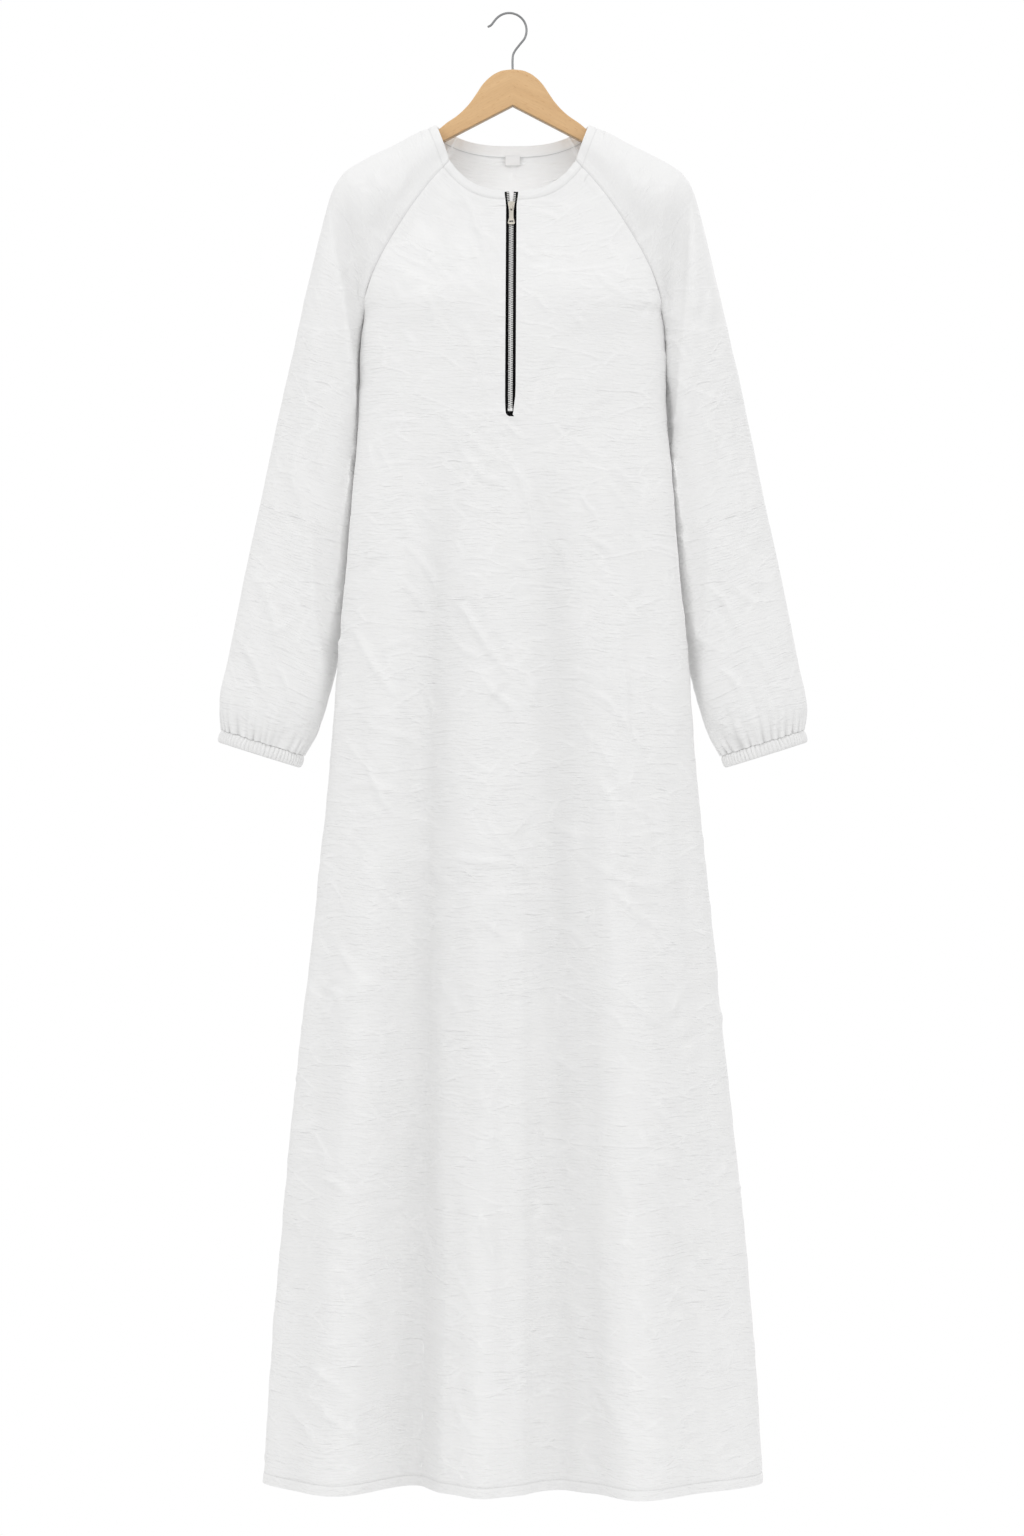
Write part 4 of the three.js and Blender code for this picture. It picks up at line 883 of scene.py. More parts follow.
def mesh_object(name, vertices, faces, uv=None, sharp_degrees=50):
    mesh = bpy.data.meshes.new(name)
    mesh.from_pydata(vertices, [], faces)
    if uv is not None:
        layer = mesh.uv_layers.new(name="cloth")
        layer.data.foreach_set("uv", np.asarray(uv, np.float32).ravel())
    mesh.shade_smooth()
    mesh.set_sharp_from_angle(angle=math.radians(sharp_degrees))
    return placed(name, mesh)


# ---- node helpers ----
class Shader:
    """Builds a material's nodes: each call adds one and returns its output."""

    def __init__(self, name, **principled):
        self.material = bpy.data.materials.new(name)
        self.material.use_nodes = True
        self.nodes = self.material.node_tree.nodes
        self.links = self.material.node_tree.links
        self.surface = self.nodes["Principled BSDF"]
        for socket, value in principled.items():
            self.surface.inputs[socket.replace("_", " ")].default_value = value

    def node(self, kind, settings=(), **inputs):
        made = self.nodes.new(kind)
        for key, value in dict(settings).items():
            setattr(made, key, value)
        for key, value in inputs.items():
            socket = made.inputs[int(key[1:])] if key[0] == "i" and key[1:].isdigit() else made.inputs[key]
            if isinstance(value, bpy.types.NodeSocket):
                self.links.new(value, socket)
            else:
                socket.default_value = value
        return made

    def sum(self, operation, a, b=0.0):
        return self.node("ShaderNodeMath", {"operation": operation}, i0=a, i1=b).outputs[0]

    def stretched(self, source, scale, turn=0.0):
        settings = {"Scale": scale, "Rotation": (0, 0, turn)}
        return self.node("ShaderNodeMapping", Vector=source, **settings).outputs[0]

    def noise(self, source, scale, detail=2.0, roughness=0.5, output="Fac"):
        settings = {"Scale": scale, "Detail": detail, "Roughness": roughness}
        return self.node("ShaderNodeTexNoise", Vector=source, **settings).outputs[output]

    def between(self, share, a, b):
        """A colour between two, at share."""
        return self.node("ShaderNodeMix", {"data_type": "RGBA"}, i0=share, i6=(*a, 1), i7=(*b, 1)).outputs[2]

    def tinted(self, colour, tint, share):
        """A colour multiplied by another, at share."""
        settings = {"data_type": "RGBA", "blend_type": "MULTIPLY"}
        return self.node("ShaderNodeMix", settings, i0=share, i6=colour, i7=tint).outputs[2]

    def vector(self, operation, a, b):
        return self.node("ShaderNodeVectorMath", {"operation": operation}, i0=a, i1=b).outputs[0]

    def scaled(self, colour, level):
        return self.node("ShaderNodeVectorMath", {"operation": "SCALE"}, i0=colour, Scale=level).outputs[0]

    def axes(self, vector):
        return self.node("ShaderNodeSeparateXYZ", Vector=vector).outputs

    def attribute(self, name, output):
        return self.node("ShaderNodeAttribute", {"attribute_name": name}).outputs[output]

    def wave(self, source, direction, distortion=0.0):
        settings = {"bands_direction": direction}
        made = self.node("ShaderNodeTexWave", settings, Vector=source, Scale=1.0, Distortion=distortion)
        return made.outputs["Fac"]

    def ramp(self, value, low, high, to_low=0.0, to_high=1.0):
        settings = {"From Min": low, "From Max": high, "To Min": to_low, "To Max": to_high}
        return self.node("ShaderNodeMapRange", Value=value, **settings).outputs[0]

    def bump(self, height, distance, normal=None, strength=1.0):
        made = self.node("ShaderNodeBump", Height=height, Distance=distance, Strength=strength)
        if normal is not None:
            self.links.new(normal, made.inputs["Normal"])
        return made.outputs[0]

    def place(self, output):
        return self.node("ShaderNodeTexCoord").outputs[output]

    def finish(self, **links):
        for socket, value in links.items():
            self.links.new(value, self.surface.inputs[socket.replace("_", " ")])
        return self.material


# ---- finishes ----
def crinkled_cloth(name, crimp=1.0, shaded_seams=True, edge=None):
    """Thin white crepe: fine crimps, a net of slanting creases with painted highlights on their ridges, its
    weave, and painted shade along its seams and stitch lines.
    """
    s = Shader(name, Roughness=0.85, Sheen_Weight=0.05, Sheen_Roughness=0.5)
    uv = s.place("UV")
    drift = s.noise(uv, 11, 2, output="Color")
    shift = s.vector("MULTIPLY", s.vector("SUBTRACT", drift, (0.5, 0.5, 0.5)), (0.02, 0.02, 0))
    warped = s.vector("ADD", uv, shift)

    def creases(scale, turn, width):
        """Thin raised lines between stretched cells."""
        cells = s.node(
            "ShaderNodeTexVoronoi",
            {"feature": "DISTANCE_TO_EDGE"},
            Vector=s.stretched(warped, (*scale, 1), turn),
            Scale=1.0,
            Randomness=0.9,
        ).outputs["Distance"]
        return s.ramp(cells, 0.0, width, 1.0, 0.0)

    patches = s.ramp(s.noise(uv, 18, 2), 0.35, 0.65, 0.5, 1.0)
    lines = s.noise(s.stretched(warped, (28, 380, 1)), 1, 1.5, 0.5)
    grain = s.noise(s.stretched(warped, (130, 480, 1)), 1, 1.5, 0.5)
    calmer = s.ramp(s.axes(s.place("Object"))[2], -0.42, -0.22, 1.0, 0.5)  # towards the neck
    crimps = s.sum("ADD", lines, s.sum("MULTIPLY", grain, 0.9))
    crimps = s.sum("MULTIPLY", crimps, s.sum("MULTIPLY", patches, calmer))
    falling = s.sum("MULTIPLY", creases((14, 38), -0.75, 0.065), s.ramp(s.noise(uv, 26, 2), 0.44, 0.6))
    rising = s.sum("MULTIPLY", creases((17, 46), 0.45, 0.06), s.ramp(s.noise(uv, 31, 2), 0.5, 0.66))
    weave = s.noise(s.stretched(uv, (1400, 2100, 1)), 1, 1)
    normal = s.bump(weave, 0.00005)
    normal = s.bump(crimps, 0.001 * crimp, normal)
    ridges = s.sum("MAXIMUM", falling, rising)
    normal = s.bump(ridges, 0.0005 * crimp, normal)
    tone = s.between(s.noise(uv, 9, 3), (0.872, 0.8705, 0.867), (0.892, 0.891, 0.889))
    # painted shade: the colour darkens in the troughs of folds, gathers and ribs
    level = s.sum("SUBTRACT", 1.0, s.sum("MULTIPLY", s.attribute("painted_shade", "Fac"), 0.14))
    # painted highlight: the crease ridges are a little lighter
    level = s.sum("ADD", level, s.sum("MULTIPLY", ridges, 0.035 * crimp))
    # painted shade: dark lines along the seams and the neck and hem stitch lines
    if shaded_seams:
        from_top, from_side, from_foot = s.axes(s.attribute("edges", "Vector"))
        for distance, depth in (
            (from_side, 0.15),
            (s.sum("ABSOLUTE", s.sum("SUBTRACT", from_top, NECK_BAND)), 0.06),
            (s.sum("ABSOLUTE", s.sum("SUBTRACT", from_foot, HEM_BAND)), 0.09),
        ):
            level = s.sum("SUBTRACT", level, s.ramp(distance, 0.25, 0.95, depth, 0.0))
    if edge:  # a shaded line along a strip's edge
        shaded = s.ramp(s.axes(uv)[0], edge - 0.001, edge - 0.0004, 0.0, 0.3)
        level = s.sum("SUBTRACT", level, shaded)
    return s.finish(Base_Color=s.scaled(tone, level), Normal=normal)


def woven_tape(name):
    """Black zip tape: a fine herringbone that catches a little light."""
    s = Shader(name, Roughness=0.85, Specular_IOR_Level=0.05)
    threads = s.wave(s.stretched(s.place("UV"), (900, 1500, 1)), "DIAGONAL", 1.5)
    tone = s.between(threads, (0.004, 0.004, 0.0045), (0.011, 0.011, 0.0115))
    return s.finish(Base_Color=tone, Normal=s.bump(threads, 0.00012))


def zip_metal(name, tone, roughness):
    """Plated metal with faint brushing and a little grime in its colour."""
    s = Shader(name, Metallic=1.0)
    place = s.place("Object")
    brushing = s.noise(s.stretched(place, (2600, 2600, 300)), 1, 2)
    cloud = s.noise(place, 420, 2)
    darker = tuple(0.78 * c for c in tone)
    rough = s.ramp(brushing, 0.3, 0.7, roughness - 0.06, roughness + 0.08)
    colour = s.between(cloud, darker, tone)
    return s.finish(Base_Color=colour, Roughness=rough, Normal=s.bump(brushing, 0.00001))


def pale_wood(name):
    """Beech under clear lacquer: grain along each arm, fine pores, and a joint at the middle."""
    s = Shader(name, Roughness=0.42, Coat_Weight=0.25, Coat_Roughness=0.25)
    place = s.place("Object")
    x, y, z = s.axes(place)
    out = s.sum("ABSOLUTE", x)
    across = s.sum("ADD", z, s.sum("MULTIPLY", out, 0.5))  # the arms fall one in two
    along = s.node("ShaderNodeCombineXYZ", i0=x, i1=y, i2=across).outputs[0]
    bands = s.noise(s.stretched(along, (9, 60, 130)), 1, 3, 0.55)
    fibres = s.noise(s.stretched(along, (60, 900, 1300)), 1, 2)
    flecks = s.ramp(s.noise(s.stretched(along, (170, 1500, 900)), 1, 1), 0.62, 0.72)
    arm = s.ramp(x, -0.0002, 0.0002, 0.46, 0.6)
    base = s.between(bands, (0.665, 0.41, 0.19), (0.84, 0.57, 0.30))
    fine = s.tinted(base, s.between(fibres, (0.80, 0.76, 0.72), (1.08, 1.07, 1.05)), 0.6)
    spotted = s.tinted(fine, (0.72, 0.56, 0.42, 1), s.sum("MULTIPLY", flecks, 0.5))
    halves = s.tinted(spotted, (0.95, 0.92, 0.88, 1), arm)
    rough = s.ramp(fibres, 0.3, 0.7, 0.36, 0.5)
    # painted shade: its undersides are darker
    upward = s.axes(s.node("ShaderNodeNewGeometry").outputs["Normal"])[2]
    colour = s.scaled(halves, s.ramp(upward, -0.7, -0.3, 0.5, 1.0))
    return s.finish(Base_Color=colour, Roughness=rough, Normal=s.bump(fibres, 0.00002))


def label_cloth(name):
    """Blank satin ribbon: close ribs along its width, and painted shade along its edges."""
    s = Shader(name, Roughness=0.45, Sheen_Weight=0.1)
    uv = s.place("UV")
    ribs = s.wave(s.stretched(uv, (1, 1500, 1)), "Y")
    tone = s.between(ribs, (0.86, 0.855, 0.85), (0.92, 0.915, 0.91))
    across, down, _ = s.axes(uv)
    to_side = s.sum("MINIMUM", across, s.sum("SUBTRACT", LABEL_WIDTH * MM, across))
    to_edge = s.sum("MINIMUM", to_side, s.sum("ADD", down, (LABEL_HEIGHT + LABEL_TUCK) * MM))
    # painted shade along the label's edges
    colour = s.scaled(tone, s.ramp(to_edge, 0.0003, 0.001, 0.78, 1.0))
    return s.finish(Base_Color=colour, Normal=s.bump(ribs, 0.00004))


def sewing_thread(name):
    """White thread, twisted along its length."""
    s = Shader(name, Roughness=0.6, Sheen_Weight=0.1)
    twist = s.noise(s.place("Object"), 2600, 1)
    tone = s.between(twist, (0.78, 0.78, 0.775), (0.9, 0.9, 0.895))
    return s.finish(Base_Color=tone, Normal=s.bump(twist, 0.00003))


FINISHES = {
    "cloth": crinkled_cloth("white_crinkled_cloth"),
    "cuff": crinkled_cloth("white_cuff_cloth", 0.35, shaded_seams=False),
    "facing": crinkled_cloth("white_facing_cloth", 0.3, shaded_seams=False, edge=FACING_WIDTH * MM),
    "tape": woven_tape("black_zip_tape"),
    "teeth": zip_metal("silver_zip_teeth", (0.80, 0.80, 0.79), 0.32),
    "slider": zip_metal("nickel_slider", (0.72, 0.68, 0.60), 0.3),
    "hook": zip_metal("chrome_hook_wire", (0.3, 0.305, 0.31), 0.22),
    "wood": pale_wood("lacquered_beech"),
    "label": label_cloth("blank_satin_label"),
    "thread": sewing_thread("white_thread"),
}


def dress(piece, finish, body=GARMENT, replaces=()):
    """Gives a piece its finish, the body that it moves with and the nodes that it stands for."""
    piece.data.materials.clear()
    piece.data.materials.append(FINISHES[finish])
    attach(piece, body)
    if replaces:
        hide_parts(*replaces)
    return piece


# ---- front and back ----
FRONT_COLUMNS = 96
FRONT_MIDDLE = 4
FRONT_STEP = 4
BACK_COLUMNS = 72
SLEEVE_COLUMNS = 72


def level_of(drop):
    return 1 + (drop - ARMPIT_DROP) / (HEM_DROP - ARMPIT_DROP)


def sew_panel(cloth, relief, seed):
    """Changes a panel's relief in place: creases die out at its seams, neck and hem, and those rise."""
    to_seam = np.minimum(cloth.across, cloth.across[:, -1:] - cloth.across)
    from_hem = cloth.down[-1:] - cloth.down
    relief *= smooth(to_seam / 14) * smooth(cloth.down / 22) * mix(0.35, 1, smooth(from_hem / 30))
    seams = [beside_seam(to_seam, cloth.down, seed + k) for k in range(2)]
    relief += np.where(cloth.points[..., 0] < 0, *seams)
    relief += stitched_edge(cloth.down, cloth.across, NECK_BAND, seed + 2)
    relief += stitched_edge(from_hem, cloth.across, HEM_BAND, seed + 3)


def front_cloth():
    foot_round, foot = level_of(ZIP_FOOT_DROP - 6), level_of(ZIP_FOOT_DROP)
    below_foot, hem_zone = level_of(ZIP_FOOT_DROP + STRIP_OPENS), level_of(HEM_DROP - HEM_ZONE)
    to_foot = ((0, 0.1, 12), (0.1, 1, 44), (1, foot_round, 28), (foot_round, foot, 12))
    levels = spaced(*to_foot, (foot, below_foot, 8), (below_foot, hem_zone, 292), (hem_zone, 2, 16))
    foot_row = sum(count for _, _, count in to_foot)
    above_armpit = mix(NECK_FRONT_DROP, ARMPIT_DROP, levels)
    centre_drop = np.where(levels <= 1, above_armpit, mix(ARMPIT_DROP, HEM_DROP, levels - 1))
    near_r = 0.2
    near_centre = panel_points(FRONT, levels, 0 * levels + near_r, 1)[:, 0]
    halves = {}
    for side in (LEFT, RIGHT):
        inner_r = np.abs(slit_edge(centre_drop, side)) / near_centre * near_r
        halves[side] = half_panel(FRONT, levels, inner_r, side, FRONT_COLUMNS)
    shares = np.linspace(0, 1, FRONT_MIDDLE + 1)[1:-1]
    start, end = halves[LEFT][:, :1], halves[RIGHT][:, :1]
    middle = mix(start, end, shares[None, :, None])
    points = np.concatenate([halves[LEFT][:, ::-1], middle, halves[RIGHT]], axis=1)
    ease_bends(points)
    cloth = Cloth(points, 1)

    x, drop = points[..., 0], -points[..., 2]
    relief = crumple(x, drop, 11)
    relief += crease_relief(x, drop, FRONT_CREASES) + crease_relief(x, drop, FRONT_LONG_FOLDS)
    relief += crease_relief(x, drop, minor_creases(12, 230, (-255, 200), (240, 1530))) + bust(x, drop)
    relief += 0.7 * uneven(x - 0.1 * (drop - 900), drop, 17, 210, 13) * smooth((drop - 330) / 200)
    sew_panel(cloth, relief, 21)
    # the opening's edges are turned under and ripple a little; a stitched end holds its foot
    to_slit = np.maximum(np.abs(x - zip_x(drop)) - zip_half_gap(drop), 0)
    beside_zip = np.exp(-to_slit / 7) * (1 - smooth((drop - ZIP_FOOT_DROP) / 8))
    relief += beside_zip * (0.35 + 0.4 * uneven(drop * 0, drop, 1, 8, 25) * smooth(to_slit / 3))
    near_slit = (to_slit < 3) & (drop < ZIP_FOOT_DROP + 3)
    relief = np.where(near_slit, np.maximum(relief, 0.2), relief)
    cloth.set_relief(relief, FRONT_STEP)
    # painted shade in the troughs between the folds
    cloth.painted_shade = painted_fold_shade(cloth, FRONT_PAINTED_SHADE)

    rows, columns = len(levels) - 1, points.shape[1] - 1
    keep = np.ones((rows // FRONT_STEP, columns // FRONT_STEP), bool)
    keep[: foot_row // FRONT_STEP, FRONT_COLUMNS // FRONT_STEP] = False
    return cloth, keep


def back_cloth():
    hem_zone = level_of(HEM_DROP - HEM_ZONE)
    levels = spaced((0, 0.08, 10), (0.08, 1, 44), (1, hem_zone, 280), (hem_zone, 2, 16))
    halves = {side: half_panel(BACK, levels, 0 * levels, side, BACK_COLUMNS) for side in (LEFT, RIGHT)}
    points = np.concatenate([halves[LEFT][:, ::-1], halves[RIGHT][:, 1:]], axis=1)
    ease_bends(points)
    cloth = Cloth(points, -1)
    x, drop = points[..., 0], -points[..., 2]
    relief = crumple(x, drop, 31)
    relief += crease_relief(x, drop, BACK_CREASES) + crease_relief(x, drop, BACK_LONG_FOLDS)
    relief += crease_relief(x, drop, minor_creases(32, 220, (-220, 240), (190, 1530), 0.3))
    sew_panel(cloth, relief, 33)
    cloth.set_relief(relief, 2)
    # painted shade in the troughs between the folds
    cloth.painted_shade = painted_fold_shade(cloth, BACK_PAINTED_SHADE)
    return cloth


# ---- sleeves ----
def gathers(around, above, seed):
    """Gathers that fan up from the elastic, some of them further than others, and the shade painted in the
    troughs between them.
    """
    count = 27
    phase = count * around + 0.8 * uneven(around, around * 0, 0.06, 1, seed)
    strength = 0.62 + 0.38 * uneven(around, around * 0, 0.037, 1, seed + 1)
    reach = 17 + 11 * uneven(around, around * 0, 0.03, 1, seed + 2)
    rounded = np.abs(np.cos(math.pi * phase)) ** 0.6
    dying = strength * np.exp(-((above / reach) ** 1.4))
    broad = np.cos(2 * math.pi * (9 * around + 0.4 * uneven(around, above, 0.11, 40, seed + 3)))
    relief = 4.4 * (rounded - 0.6) * dying + 1.3 * broad * np.exp(-(((above - 14) / 26) ** 2))
    return relief, (1 - rounded) ** 1.3 * dying


def break_line(x, drop, path):
    """Distance in from a sleeve's crisp edge, and its strength, which fades at the edge's ends."""
    stations = np.array(path, float)
    inward = smooth_curve(stations[:, 1], stations[:, 0])(drop) - x
    fade = smooth((drop - stations[0, 1]) / 40) * smooth((stations[-1, 1] - drop) / 40)
    return inward, fade


def sleeve_cloth(side, front_creases, breaks, seed):
    upper = spaced((0, 0.1, 8), (0.1, 1, 52))
    tube = spaced((0, 0.93, 144), (0.93, 1, 26))[1:]
    rows = np.concatenate([raglan_rows(upper, SLEEVE_COLUMNS), tube_rows(tube, SLEEVE_COLUMNS)])
    armpit_row = len(upper) - 1
    points = rows * np.array([side, 1, 1])
    cloth = Cloth(points, side, closed_from=armpit_row)

    x, drop = np.abs(points[..., 0]), -points[..., 2]
    on_front = np.arange(points.shape[1])[None, :] <= SLEEVE_COLUMNS
    front = crease_relief(x, drop, front_creases)
    front += crease_relief(x, drop, minor_creases(seed + 9, 60, (100, 280), (170, 720), 0.5 + 0.25 * side))
    painted_break_shade = np.zeros_like(x)
    for path, reach, height, shade in breaks:
        # inside the edge the cloth is flatter, and shade is painted on it
        inward, fade = break_line(x, drop, path)
        front += -height * np.sin(math.pi * clamp(inward / reach)) * fade
        painted_break_shade += shade * smooth(inward / 3) * fade
    back = crease_relief(x, drop, SLEEVE_BACK)
    back += crease_relief(x, drop, minor_creases(seed + 10, 60, (100, 280), (170, 720), 0.5))
    relief = np.where(on_front, front, back) + crumple(cloth.across + 7 * seed, cloth.down, seed)
    to_ridge = np.abs(cloth.across - cloth.across[:, SLEEVE_COLUMNS : SLEEVE_COLUMNS + 1])
    relief *= mix(0.35, 1, smooth(to_ridge / 12))
    to_inner = np.minimum(cloth.across, cloth.across[:, -1:] - cloth.across)
    above_cuff = cloth.down[-1:] - cloth.down
    relief *= smooth(to_inner / 12) * smooth(cloth.down / 22) * smooth(above_cuff / 14)
    # the raglan seams end at the armpit; the underarm seam below it is softer
    past_armpit = np.arange(len(points)) - armpit_row
    below = smooth(past_armpit / 8)[:, None]
    relief += beside_seam(to_inner, cloth.down, seed + 1) * (1 - 0.35 * below)
    relief += stitched_edge(cloth.down, cloth.across, NECK_BAND, seed + 2)
    around = cloth.across / cloth.across[:, -1:]
    near_cuff = smooth((past_armpit - 90) / 20)[:, None]
    gathered, valley_shade = gathers(around, above_cuff, seed + 4)
    relief += gathered * near_cuff
    relief[:, -1] = np.where(past_armpit >= 0, relief[:, 0], relief[:, -1])
    cloth.set_relief(relief, 2)
    cloth.edges[..., 2] += 1000  # no painted shade line along the foot above the elastic
    # painted shade in the gathers' troughs and inside the sleeves' breaks
    cloth.painted_shade = 2.6 * valley_shade * near_cuff + np.where(on_front, painted_break_shade, 0)
    return cloth


# Round the casing: fall from its top, how far it stands out, and its ribs' height.
CUFF_PROFILE = (
    (0.1, -1.8, 0.6),
    (0.5, -0.9, 1.1),
    (1.3, -0.4, 1.5),
    (3, 0.1, 1.7),
    (5, 0.4, 1.8),
    (7, 0.5, 1.8),
    (9, 0.45, 1.8),
    (11, 0.2, 1.7),
    (12.6, -0.2, 1.5),
    (13.5, -0.8, 1.1),
    (13.9, -1.7, 0.6),
    *((fall, grow, 0.2) for fall, grow in ((13.4, -2.4), (10, -1.7), (7, -1.5), (4, -1.8), (0.6, -2.4))),
)
CUFF_ELASTIC = 0.22  # its length in metres


def cuff(name, side):
    """An elastic casing: soft ribs from its gathered cloth, rounded over both edges."""
    ring = tube_rows(np.array([1.0]), 2)[0]
    inner, outer = ring[0], ring[2]
    centre = (inner + outer) / 2
    along = (outer - inner) / np.linalg.norm(outer - inner)
    down = np.array([along[2], 0, -along[0]])
    half = np.linalg.norm(outer - inner) / 2
    steps = CUFF_RIBS * 8
    share = np.arange(steps + 1) / steps
    share[-1] = 0
    angle = 2 * math.pi * share

    def ribs(fall):
        lean = 0.30 * uneven(share * CUFF_RIBS, share * 0 + fall, 3.1, 8, 71)
        width = 0.25 * uneven(share * CUFF_RIBS, share * 0, 1.7, 1, 72)
        phase = CUFF_RIBS * share + (lean + width) * np.sin(math.pi * share) ** 0.5
        heights = 0.85 + 0.35 * uneven(share * 50, share, 1.3, 1, 73)
        return np.abs(np.cos(math.pi * phase)) ** 0.7 * heights

    def level(fall, grow, rib_height):
        spread = grow + rib_height * ribs(fall)
        u, v = -(half + spread) * np.cos(angle), -(CUFF_HALF_DEPTH + spread) * np.sin(angle)
        points = centre + u[:, None] * along + fall * down
        points[:, 1] = v
        return points * np.array([side, 1, 1])

    rows = np.array([level(*station) for station in CUFF_PROFILE])
    count = len(rows)
    keys = np.arange(count * steps).reshape(count, steps)
    faces = []
    for i in range(count):
        below_row = (i + 1) % count
        for j in range(steps):
            right = (j + 1) % steps
            face = (keys[i, j], keys[below_row, j], keys[below_row, right], keys[i, right])
            faces.append(face if side > 0 else face[::-1])
    vertices = rows[:, :steps].reshape(-1, 3) * MM
    spot = {int(keys[i, j]): (share[j] * CUFF_ELASTIC, i * 0.002) for i in range(count) for j in range(steps)}
    faces = [tuple(int(k) for k in face) for face in faces]
    uv = [spot[k] for face in faces for k in face]
    piece = mesh_object(name, vertices.tolist(), faces, uv)
    # painted shade in the troughs between the ribs
    valley_shade = np.array([clamp(1 - ribs(fall)[:steps]) * (rise > 1) for fall, _, rise in CUFF_PROFILE])
    point_values(piece, "painted_shade", "FLOAT", "value", 0.5 * valley_shade**1.5)
    return piece


# ---- a strip of cloth or tape: rows of points given a thickness ----
def slab(name, face, normals, thick):
    """A closed slab under a grid of points, thick along -normals."""
    rows, columns = face.shape[:2]
    under = face - normals * thick
    key = np.arange(rows * columns).reshape(rows, columns)
    deep = key + rows * columns
    faces = []
    for i in range(rows - 1):
        for j in range(columns - 1):
            faces.append((key[i, j], key[i + 1, j], key[i + 1, j + 1], key[i, j + 1]))
            faces.append((deep[i, j], deep[i, j + 1], deep[i + 1, j + 1], deep[i + 1, j]))
    for i in range(rows - 1):
        faces.append((key[i + 1, 0], key[i, 0], deep[i, 0], deep[i + 1, 0]))
        faces.append((key[i, -1], key[i + 1, -1], deep[i + 1, -1], deep[i, -1]))
    for j in range(columns - 1):
        faces.append((key[0, j], key[0, j + 1], deep[0, j + 1], deep[0, j]))
        faces.append((key[-1, j + 1], key[-1, j], deep[-1, j], deep[-1, j + 1]))
    faces = [tuple(int(k) for k in f) for f in faces]
    vertices = np.concatenate([face.reshape(-1, 3), under.reshape(-1, 3)]) * MM
    uv = np.stack([lengths(face, 1), -lengths(face, 0)], axis=-1) * MM
    flat = np.concatenate([uv.reshape(-1, 2)] * 2)
    return mesh_object(name, vertices.tolist(), faces, [flat[k] for f in faces for k in f])


def at_distance(cloth, column, distance, from_end=False):
    """The face's point and normal at a distance down a column from its top, or up from its foot."""
    run = cloth.down[:, column]
    want = run[-1] - distance if from_end else distance
    point = np.array([np.interp(want, run, cloth.outer[:, column, k]) for k in range(3)])
    normal = np.array([np.interp(want, run, cloth.normals[:, column, k]) for k in range(3)])
    return point, normal / np.linalg.norm(normal)


def neck_columns(cloths):
    """The columns round the neck, from the zip's right edge by the right shoulder back to its left edge."""
    front, back, right, left = cloths
    slit_left, slit_right = FRONT_COLUMNS, FRONT_COLUMNS + FRONT_MIDDLE
    last = front.points.shape[1]
    return (
        (front, range(slit_right, last)),
        (right, range(right.points.shape[1])),
        (back, range(back.points.shape[1] - 1, -1, -1)),
        (left, range(left.points.shape[1] - 1, -1, -1)),
        (front, range(0, slit_left + 1)),
    )


def neck_facing(cloths):
    """A smooth strip inside the neck's edge."""
    stops = (0.3, 1, 3, 5, 7, 9, 11, FACING_WIDTH - 0.4, FACING_WIDTH)
    grid, normals = [], []
    for cloth, columns in neck_columns(cloths):
        for column in columns:
            stations = [at_distance(cloth, column, stop) for stop in stops]
            if grid and np.linalg.norm(stations[0][0] - grid[-1][0]) < 0.8:
                continue
            grid.append([p for p, _ in stations])
            normals.append([n for _, n in stations])
    grid, normals = np.array(grid), np.array(normals)
    # its face lies against the cloth's inside
    sunk = WALL + 0.9 + 0.25 * np.sin(np.linspace(0, math.pi, len(stops)))
    return slab("neck_facing_strip", (grid - normals * sunk[None, :, None])[::-1], normals[::-1], 0.8)


def neck_label(back):
    """A blank loop of ribbon below the back of the facing, lifting a little at its foot."""
    columns, rows = 12, 10
    middle = back.points.shape[1] // 2
    grid = np.zeros((rows + 1, columns + 1, 3))
    for i in range(rows + 1):
        fall = FACING_WIDTH - LABEL_TUCK + (LABEL_HEIGHT + LABEL_TUCK) * i / rows
        point, normal = at_distance(back, middle, fall)
        for j in range(columns + 1):
            u = (j / columns - 0.5) * LABEL_WIDTH
            lift = WALL + 2.9 + 0.9 * (i / rows) ** 2 + 0.35 * math.cos(3.1 * j / columns + 0.4) * i / rows
            grid[i, j] = point - normal * lift + np.array([u, 0, 0])
    normals = np.zeros_like(grid) + np.array([0, -1, 0])
    return slab("neck_label_ribbon", grid, normals, 0.45)


